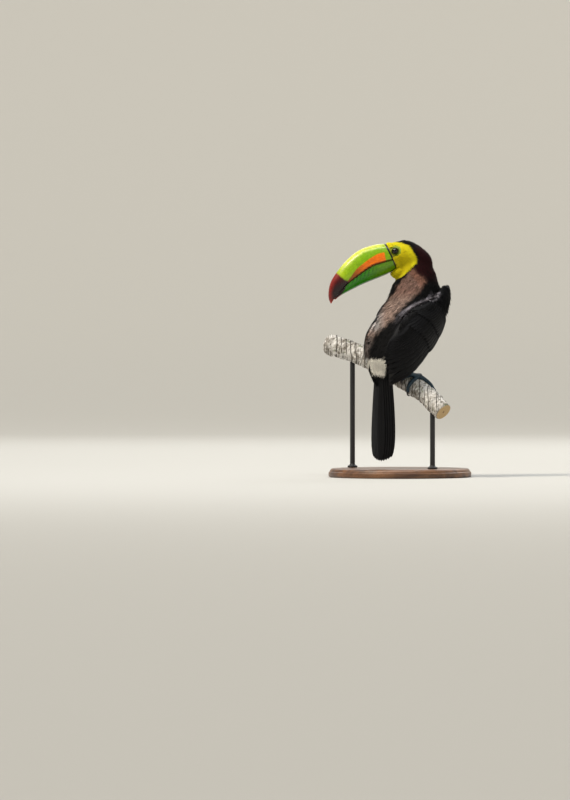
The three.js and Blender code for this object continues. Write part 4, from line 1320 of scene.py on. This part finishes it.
def lay_wing(coat, side, root, tip, half, lifts, blunt):
    """Vanes on a wing from root to tip, both (station, rise) columns; lifts at root and tip."""
    root, tip, lifts = (np.asarray(v, float) for v in (root, tip, lifts))
    s = LONG_ROWS[None]
    station = root[:, :1] + (tip - root)[:, :1] * s
    rise = root[:, 1:] + (tip - root)[:, 1:] * s**1.3
    lift = lifts[:, :1] + (lifts[:, 1:] - lifts[:, :1]) * s**1.2
    mid = wing_place(side, station, rise, lift)
    up = wing_place(side, station, rise + 1.0, lift) - wing_place(side, station, rise - 1.0, lift)
    along = unit(np.gradient(mid, axis=1))
    normal = unit(np.cross(along, up)) * side
    across = unit(unit(np.cross(normal, along)) + TILT * normal)
    length = np.linalg.norm(mid[:, -1] - mid[:, 0], axis=1)
    long_feathers(coat, mid, across, normal, half, length, unwrap_body(mid[:, 2]), blunt, 0.3,
                  0.12, 0.1)


def long_feathers(coat, mid, side, normal, half, length, root_uv, blunt, thickness, camber, shade):
    """Black vanes, each with a shaft: a low ridge along its middle, finer towards the tip."""
    count, n = mid.shape[:2]
    tints = np.tile(BLACK, (count, 1)) * (1 + chance.normal(0, shade, (count, 1)))
    put_vanes(coat, mid, side, normal, half, length, tints, root_uv, LONG_ROWS, blunt, thickness,
              columns=3, camber=camber)
    wide = (0.42 * (1 - 0.75 * LONG_ROWS))[None, :, None]
    ridge = np.stack([mid + side * wide, mid + normal * wide * 0.9, mid - side * wide,
                      mid - normal * 0.2], axis=2)
    faces = grid_faces(n, 4).tolist() + [[3, 2, 1, 0], list(range(4 * n - 4, 4 * n))]
    s = np.repeat(LONG_ROWS, 4)
    vane = np.tile(np.column_stack([np.zeros(4 * n), s * 5])[None], (count, 1, 1))
    coat.add(ridge, faces, tints * 1.25, root_uv,
             np.column_stack([np.tile([0.05, 0, -0.05, 0], n), s - 0.5]), vane)


def make_wing(side, word):
    """The flight feathers of one wing, and two rows of coverts over their roots."""
    flights = Coat()
    count = 15
    j = np.arange(count)
    share = j / (count - 1)
    tip_station = -83.0 + 50 * share**1.05 + chance.normal(0, 0.5, count)
    half = np.where(j < 7, 6.2, 7.6) + np.where(j > 11, 2.6, 0)
    half = np.minimum(half, 2.2 + 0.55 * wing_chord(tip_station + 6))
    tip_rise = np.maximum(wing_chord(tip_station) - 0.55 * half, 2.0)
    tip_rise = np.maximum(tip_rise + keyed(TIP_OVERLAP, tip_station)[:, int(side > 0)], 1.5)
    root = np.column_stack([26 - 6 * share, 5 + 49 * share])
    lay_wing(flights, side, root, np.column_stack([tip_station, tip_rise]), half,
             np.column_stack([np.full(count, -1.0), 0.2 + 0.1 * j]), 6)
    made = [flights.make(f"flight_feathers_{word}", flight_plumage, "plumage_black")]
    coverts = Coat()
    for station, long, half_width, gap, low, high in ((-10, 44, 5.2, 4.6, -0.6, 0.5),
                                                      (14, 30, 4.4, 4.1, 0.0, 1.0)):
        rise = np.arange(2.5, wing_chord(station)[0] + 1, gap)
        n = len(rise)
        lean = 7 * (1 - rise / rise[-1]) ** 2
        tip = np.column_stack([station - lean + chance.normal(0, 0.7, n), rise])
        root = np.column_stack([tip[:, 0] + long,
                                rise / wing_chord(station)[0] * wing_chord(tip[:, 0] + long)])
        lay_wing(coverts, side, root, tip, np.full(n, half_width),
                 np.column_stack([np.full(n, low), high + 0.05 * np.arange(n)]), 4)
    made.append(coverts.make(f"wing_coverts_{word}", flight_plumage, "plumage_black"))
    return made


# ------------------------------------------------------------------ tail
TAIL_HALF = [[0, 16], [0.25, 18], [0.6, 20.3], [0.85, 22], [1, 22]]


def make_tail():
    """Ten tail feathers, the middle pair on top and the outer ones a little shorter."""
    coat = Coat()
    rank = np.repeat([5, 4, 3, 2, 1], 2)
    hand = np.tile([1, -1], 5)
    rows = LONG_ROWS
    reach = TAIL_LENGTH + 1.5 - 0.35 * (rank - 1) ** 2 - 0.6 * (hand > 0)
    t = reach[:, None] * rows[None] / TAIL_LENGTH
    widest = keyed(TAIL_HALF, t.ravel())[:, 0].reshape(t.shape)
    half = np.where(rank == 1, 7.4, 6.8)
    spread = (rank[:, None] - 0.55) / 4.45 * (widest - half[:, None] * (0.35 + 0.6 * rows[None]))
    y = hand[:, None] * spread
    arch = 3.2 * (1 - (y / widest) ** 2)
    lift = 0.55 * (5 - rank[:, None]) - 1.4 + 0.6 * rows[None]
    mid = (TAIL_TOP - UP * (reach[:, None] * rows[None])[..., None] + LEFT * y[..., None]
           - AHEAD * (arch + lift)[..., None])
    slope = (6.4 * y / widest**2)[..., None]
    normal = unit(-AHEAD + LEFT * slope)
    along = unit(np.gradient(mid, axis=1))
    side = unit(np.cross(normal, along))
    uv = np.column_stack([0.1 + 0.08 * np.arange(10), np.full(10, 0.5)])
    long_feathers(coat, mid, side, normal, half, reach, uv, 7, 0.5, 0.1, 0.08)
    coat.make("tail_feathers", flight_plumage, "plumage_black", ["tail"])


# ------------------------------------------------------------------ stand
def lathe(name, profile, centre, sides, material, slot_name, node):
    """A turned piece: profile rows are (radius, height) above centre."""
    angle = turns(sides)
    profile = np.array(profile, float)
    rings = np.stack([profile[:, :1] * np.cos(angle), profile[:, :1] * np.sin(angle),
                      np.repeat(profile[:, 1:], sides, axis=1)], axis=2) + centre
    verts, faces = sweep(rings)
    return piece(name, verts, faces, material, slot_name, [node], tidy=True)


def rounded(corners, radius, steps=5):
    """A profile with each inner corner rounded off."""
    corners = np.array(corners, float)
    out = [corners[0]]
    for a, b, c in zip(corners, corners[1:], corners[2:]):
        r = min(radius, 0.45 * np.linalg.norm(a - b), 0.45 * np.linalg.norm(c - b))
        start, end = b + unit(a - b) * r, b + unit(c - b) * r
        for t in np.linspace(0, 1, steps):
            out.append((1 - t) ** 2 * start + 2 * t * (1 - t) * b + t * t * end)
    out.append(corners[-1])
    return np.array(out)


BASE_RADIUS, BASE_HEIGHT, ROD_RADIUS = 100, 12, 3.5
ROD_PLACES = {"left": -66, "right": 45}


def make_stand():
    """The turned base, and two rods that carry the branch."""
    r, top = BASE_RADIUS, BASE_HEIGHT
    profile = rounded([(0.5, 0), (r - 2, 0), (r, 1.6), (r, 7), (r - 1.8, 8), (r - 1.8, 9),
                       (r - 4, top), (0.5, top)], 1.4)
    lathe("base_disc", profile, np.zeros(3), 160, oiled_wood, "stand_wood", "stand_base")
    for word, x in ROD_PLACES.items():
        middle = perch_centre(x)[0]
        underside = middle[2] - perch_radius(x) - BASE_HEIGHT - 0.6
        profile = rounded([(0.4, 0), (7, 0), (7, 2.4), (4.6, 3.6), (ROD_RADIUS, 5),
                           (ROD_RADIUS, underside + 3), (0.4, underside + 3)], 0.8)
        lathe(f"rod_{word}", profile, np.array([middle[0], middle[1], BASE_HEIGHT + 0.05]), 40,
              coated_steel, "stand_metal", f"stand_rod_{word}")


# ------------------------------------------------------------------ the coat
SAMPLES = 170000  # places on the skin from which the roots of the feathers are picked
COVER_REACH = 14  # a wing hides the skin that lies within this far beneath it
EDGE_SHOWS = 5  # width of the strip by a wing's inner edge that is never hidden
RIGHT_WING = FLESH.index("wing_right")
BLUNT = 5  # how blunt the tips of body feathers are
ROUND_EYE, FRONTAL_ROUND_EYE = 7.2, 7.6  # how far from the eye's middle feathers begin


def tree_of(obj):
    """A search tree over one object's faces."""
    verts, faces = mesh_arrays(obj.data)
    return BVHTree.FromPolygons(verts.tolist(), faces)


def meets(trees, start, way, reach):
    return any(tree.ray_cast(start, way, reach)[0] is not None for tree in trees)


def comes_through(mid):
    """Which feathers of the body would come up through the feathers of a folded wing."""
    through = np.zeros(len(mid), bool)
    last = mid.shape[1] - 1
    for i, line in enumerate(mid):
        for k in range(1, last + 1):
            way = Vector(line[k] - line[k - 1])
            reach = way.length * (1.0 if k < last else 1.6)  # barbs reach past the tip
            through[i] |= meets(wing_trees, Vector(line[k - 1]), way, reach)
    return through


def under_cover(points, normals, owner):
    """Which places lie beneath a folded wing or against the branch."""
    trees = [tree_of(NODES["wing_left"]), tree_of(NODES["wing_right"])] + wing_trees
    hidden = (np.linalg.norm(points - perch_centre(points[:, 0]), axis=1)
              < perch_radius(points[:, 0]) + 1)
    for i in np.nonzero((owner != FLESH.index("wing_left")) & (owner != RIGHT_WING))[0]:
        hidden[i] |= meets(trees, Vector(points[i] + 0.5 * normals[i]), Vector(normals[i]),
                           COVER_REACH)
    # Along the left wing's inner edge the back shows, so its feathers are kept.
    local = to_local(BODY, points)
    shows = (local[:, 1] > 0) & (local[:, 2] > 0) & (from_inner_edge(local) < EDGE_SHOWS)
    return hidden & ~shows


wing_trees = [tree_of(obj) for obj in make_wing(1, "left") + make_wing(-1, "right")]
sample_points, sample_normals, sample_owner = skin_samples(SAMPLES)
sample_owner[under_cover(sample_points, sample_normals, sample_owner)] = -1


def lay_coat(name, where, gap, length, half, high, fringe, plumage=loose_plumage,
             slot_name="plumage_black", unwrapped=unwrap_body, low=0.3, jitter=0.14, shade=0.14,
             splay=0.0, on_wings=False):
    """One piece of coat, with feathers gap apart over the chosen part of the skin.

    low and high are how far roots and tips stand off the skin, and fringe counts each
    feather's barbs. jitter, shade and splay say how much turns, tones and tips vary."""
    index = np.nonzero(where)[0]
    index = index[spaced(sample_points[index], gap)]
    roots, count = sample_points[index], len(index)
    size = chance.uniform(0.85, 1.15, count)
    long, wide = length * size, half * size
    turn = chance.normal(0, jitter, count)
    lines = follow_skin(roots, sample_normals[index], long, turn, low,
                        high * chance.uniform(0.8, 1.1, count), splay * chance.random(count))
    if not on_wings:
        mid = lines[0]
        landed = np.array([flesh_owner[flesh_tree.find_nearest(p)[2]] for p in mid[:, 4]])
        on_flights = (landed == RIGHT_WING) & (to_local(BODY, mid[:, 4])[:, 0] < -15)
        clear = ~on_flights & ~comes_through(mid)
        roots, long, wide = roots[clear], long[clear], wide[clear]
        lines, count = tuple(v[clear] for v in lines), int(clear.sum())
    tones = np.clip(1 + chance.normal(0, shade, (count, 1)), 0.3, 2)
    tints = np.clip(markings(lines[0][:, 3]) * tones, 0.002, 1)
    coat = Coat()
    put_vanes(coat, *lines, wide, long, tints, unwrapped(roots), ROWS, BLUNT, 0.16, soft=True)
    if fringe:
        barbs(coat, *lines, wide, long, tints, unwrapped(roots), fringe)
    return coat.make(name, plumage, slot_name)


def off_eye(points):
    """How far places on the head lie from the middle of the nearer eye, seen from its side."""
    local = to_local(HEAD, points)
    return np.hypot((local[:, 0] - EYE_PLACE[0]) * 0.91, (local[:, 2] - EYE_PLACE[2]) * 1.1)


def lay_frontal(outlines):
    """Short feathers rooted on the base of the bill, which hide where the head begins."""
    coat = Coat()
    for row, outline in itertools.product(range(3), outlines):
        reach = run(outline)
        at = np.arange(0.45 * (row % 2), reach[-1], 0.95)
        place, ahead_of, behind_of = (
            np.column_stack([np.interp(at + step, reach, outline[:, k]) for k in range(3)])
            for step in (0, 0.5, -0.5))
        tangent = unit(ahead_of - behind_of)
        outward = np.column_stack([np.zeros(len(at)), tangent[:, 2], -tangent[:, 1]])
        outward *= np.sign(((place - outline.mean(0)) * outward).sum(1))[:, None]
        outward = outward @ HEAD[1]
        place[:, 0] = 23.2 - 1.7 * row + chance.normal(0, 0.15, len(at))
        root = to_world(HEAD, place) + outward * 0.1
        long = 5.4 * chance.uniform(0.85, 1.15, len(at))
        half = 0.85 * chance.uniform(0.85, 1.15, len(at))
        skew = chance.normal(0, 0.12, len(at))[:, None]
        way = unit(-HX + skew * np.cross(outward, HX))
        mid, normal = [], []
        for s in ROWS:
            p = root + way * (long * s)[:, None]
            q, n = on_skin(p)
            share = smooth(s, 0, 0.9)
            off = q + n * (1.0 + 0.2 * row)
            mid.append(p * (1 - share) + off * share + outward * 0.35 * math.sin(math.pi * s))
            normal.append(unit(outward * (1 - share) + n * share))
        mid, normal = np.stack(mid, 1), np.stack(normal, 1)
        away = off_eye(mid.reshape(-1, 3)).reshape(mid.shape[:2])
        clear = np.min(away, axis=1) > FRONTAL_ROUND_EYE
        mid, normal, root, long, half = (v[clear] for v in (mid, normal, root, long, half))
        side = unit(np.cross(normal, unit(np.gradient(mid, axis=1))))
        tints = markings(mid[:, 2]) * (1 + chance.normal(0, 0.06, (len(mid), 1)))
        vanes = (mid, side, normal, half, long, np.clip(tints, 0.002, 1), unwrap_head(root))
        put_vanes(coat, *vanes, ROWS, BLUNT, 0.14, soft=True)
        barbs(coat, *vanes, 4)
    coat.make("feathers_frontal", face_plumage, "face_yellow")


sample_head = to_local(HEAD, sample_points)
sample_body = to_local(BODY, sample_points)
station = sample_body[:, 0]
from_edge = from_inner_edge(sample_body)
eye_gap = np.min([np.hypot(sample_head[:, 0] - EYE_PLACE[0], sample_head[:, 2] - EYE_PLACE[2])
                  + 40 * (np.sign(sample_head[:, 1]) != s) for s in (1, -1)], axis=0)
is_node = {name: sample_owner == i for i, name in enumerate(FLESH)}
is_left = is_node["wing_left"]
sample_colour = markings(sample_points)
is_yellow = (sample_colour[:, 1] > 0.3) & (sample_colour[:, 2] < 0.3)
on_back = sample_body[:, 2] > 0
wings = is_left | is_node["wing_right"]
on_bend = wings & (station > 70)
head_zone = is_node["head"] & (eye_gap > ROUND_EYE)
rump_zone = is_node["rump"] | (is_left & (station < -42) & (from_edge < 12))
shoulder_zone = (wings & (station > -58) & (station < np.where(is_left, 66, 46))
                 & (is_left | (station > -12)) & (from_edge < np.where(is_left, 24, 10))
                 & ~rump_zone)
body_zone = (is_node["trunk"] | is_node["thigh_left"] | is_node["thigh_right"]) & ~is_yellow
YELLOW_COAT = {"plumage": face_plumage, "slot_name": "face_yellow", "shade": 0.07}
BODY_COAT = {"fringe": 7, "splay": 0.7}
WING_COAT = {"fringe": 0, "plumage": flight_plumage, "on_wings": True}

# Each line: name, where, then gap, length, half width and height of the tips in millimetres.
lay_coat("feathers_face", head_zone & is_yellow, 0.98, 4.2, 0.74, 0.75, 5, unwrapped=unwrap_head,
         jitter=0.1, **YELLOW_COAT)
lay_coat("feathers_crown", head_zone & ~is_yellow, 1.15, 5.6, 0.95, 2.1, 5, unwrapped=unwrap_head)
lay_coat("feathers_neck", is_node["neck"] & ~is_yellow, 1.4, 8, 1.25, 2.7, 6, shade=0.25)
lay_coat("feathers_bib", ~is_node["head"] & is_yellow, 1.5, 8, 1.3, 2.4, 5, **YELLOW_COAT)
lay_coat("feathers_back", body_zone & on_back, 1.75, 11.5, 1.65, 2.8, shade=0.35, **BODY_COAT)
lay_coat("feathers_belly", body_zone & ~on_back, 2.1, 13, 2.0, 2.9, shade=0.3, **BODY_COAT)
lay_coat("feathers_rump", rump_zone, 1.35, 11, 1.3, 2.4, 5, slot_name="rump_white", jitter=0.05,
         shade=0.05)
lay_coat("feathers_wings", wings & ~shoulder_zone & ~on_bend & (station > 36), 2.0, 9, 2.2, 4.1,
         jitter=0.07, **WING_COAT)
lay_coat("feathers_bend", on_bend, 1.5, 7, 1.7, 2.4, jitter=0.1, **WING_COAT)
for word, low, high in (("left", 1.0, 3.0), ("right", 2.0, 4.6)):
    lay_coat(f"feathers_shoulder_{word}", shoulder_zone & ~on_bend & is_node[f"wing_{word}"],
             1.9, 12, 1.8, high, 7, low=low, splay=0.8, shade=0.32, on_wings=word == "right")
make_tail()
make_branch()
lay_frontal([make_bill("bill_upper_horn", RIDGE, 1.0, 1.0, 0.8, 1, "bill_upper"),
             make_bill("bill_lower_horn", CHIN, 0.9, 0.96, 0.85, -1, "bill_lower")])
make_stand()

skin_parts = [(skin_verts, skin_faces)]
skin_tints = [markings(skin_verts)]
for word, side in SIDES.items():
    make_claws(side, word)
    make_eye(side, word)
    foot_verts, foot_faces, toe_lines = one_foot(side)
    skin_parts.append((foot_verts, foot_faces))
    skin_tints.append(foot_tint(foot_verts, toe_lines))
    lid_verts, lid_faces, from_edge = lids(side)
    skin_parts.append((lid_verts, lid_faces))
    skin_tints.append(blend(LID_SKIN, EYE_SKIN, smooth(from_edge, 0.08, 0.35)))
skin = piece("skin", *joined(skin_parts), bare_skin, "foot_skin", FLESH + FEET)
attribute(skin, "tint", np.vstack(skin_tints))

# ------------------------------------------------------------------ studio
studio_paint = Paint("painted studio floor", Roughness=0.9,
                     Base_Color=rgba(tone("#c6c6c2"))).material


def studio_floor():
    """A wide plain floor, which curves up far away on every side, so that no edge shows."""
    flat, bend, steps = 16000, 22000, 24
    rise = np.linspace(0, math.pi / 2, steps)
    profile = [(r, 0) for r in (200, 1000, 3000, 8000)] + [
        (flat + bend * math.sin(a), bend * (1 - math.cos(a))) for a in rise]
    angle = turns(96)
    verts = np.array([(r * math.cos(a), r * math.sin(a), z) for r, z in profile for a in angle])
    faces = grid_faces(len(profile), len(angle))[:, ::-1].tolist() + [list(range(len(angle)))]
    mesh = bpy.data.meshes.new("studio_floor")
    mesh.from_pydata((verts * MM).tolist(), [], faces)
    mesh.shade_smooth()
    mesh.materials.append(studio_paint)
    linked("studio_floor", mesh)


studio_floor()
LOOK_AT = Vector((-0.161, -0.005, 0.108))
CAMERA_AWAY = 12.0
VIEW_HEIGHT = 1.12  # how much the picture takes in from top to bottom, in metres
FILM_HEIGHT = 36
CAMERA_RISE = math.radians(1.0)
camera_data = bpy.data.cameras.new("camera")
camera_data.sensor_fit = "VERTICAL"
camera_data.sensor_height = FILM_HEIGHT
camera_data.lens = FILM_HEIGHT * CAMERA_AWAY / VIEW_HEIGHT
camera_data.clip_end = 100
camera = linked("camera", camera_data)
towards = Vector((0, -math.cos(CAMERA_RISE), math.sin(CAMERA_RISE)))
camera.location = LOOK_AT + towards * CAMERA_AWAY
camera.rotation_euler = (math.pi / 2 - CAMERA_RISE, 0, 0)
bpy.context.scene.camera = camera


def light(name, kind, power, way, **values):
    """A lamp that shines along way."""
    data = bpy.data.lights.new(name, kind)
    data.energy = power
    for key, value in values.items():
        setattr(data, key, value)
    obj = linked(name, data)
    obj.rotation_euler = Vector(way).to_track_quat("-Z", "Y").to_euler()
    return obj


light("key", "SUN", 2.3, (1.7, 0.9, -2.1), angle=math.radians(14), color=tone("#fff3e0"))
for name, place, aim_height, width, height, power in (
        ("strip", (-0.1, -0.5, 1.9), 0.25, 1.6, 0.25, 16),
        ("rim", (1.2, 1.8, 1.9), 0.25, 1.0, 1.0, 12),
        ("back", (-0.1, 2.2, 1.35), 0.3, 2.4, 0.7, 11)):
    softbox = light(name, "AREA", power, Vector((0, 0, aim_height)) - Vector(place),
                    shape="RECTANGLE", size=width, size_y=height, color=tone("#ffffff"))
    softbox.location = place
    softbox.visible_camera = False
world = bpy.data.worlds.new("studio")
bpy.context.scene.world = world
bpy.context.scene.view_settings.view_transform = "Standard"
world.use_nodes = True
sky = world.node_tree.nodes["Background"].inputs
sky["Color"].default_value = rgba(tone("#e4e6e8"))
sky["Strength"].default_value = 0.6
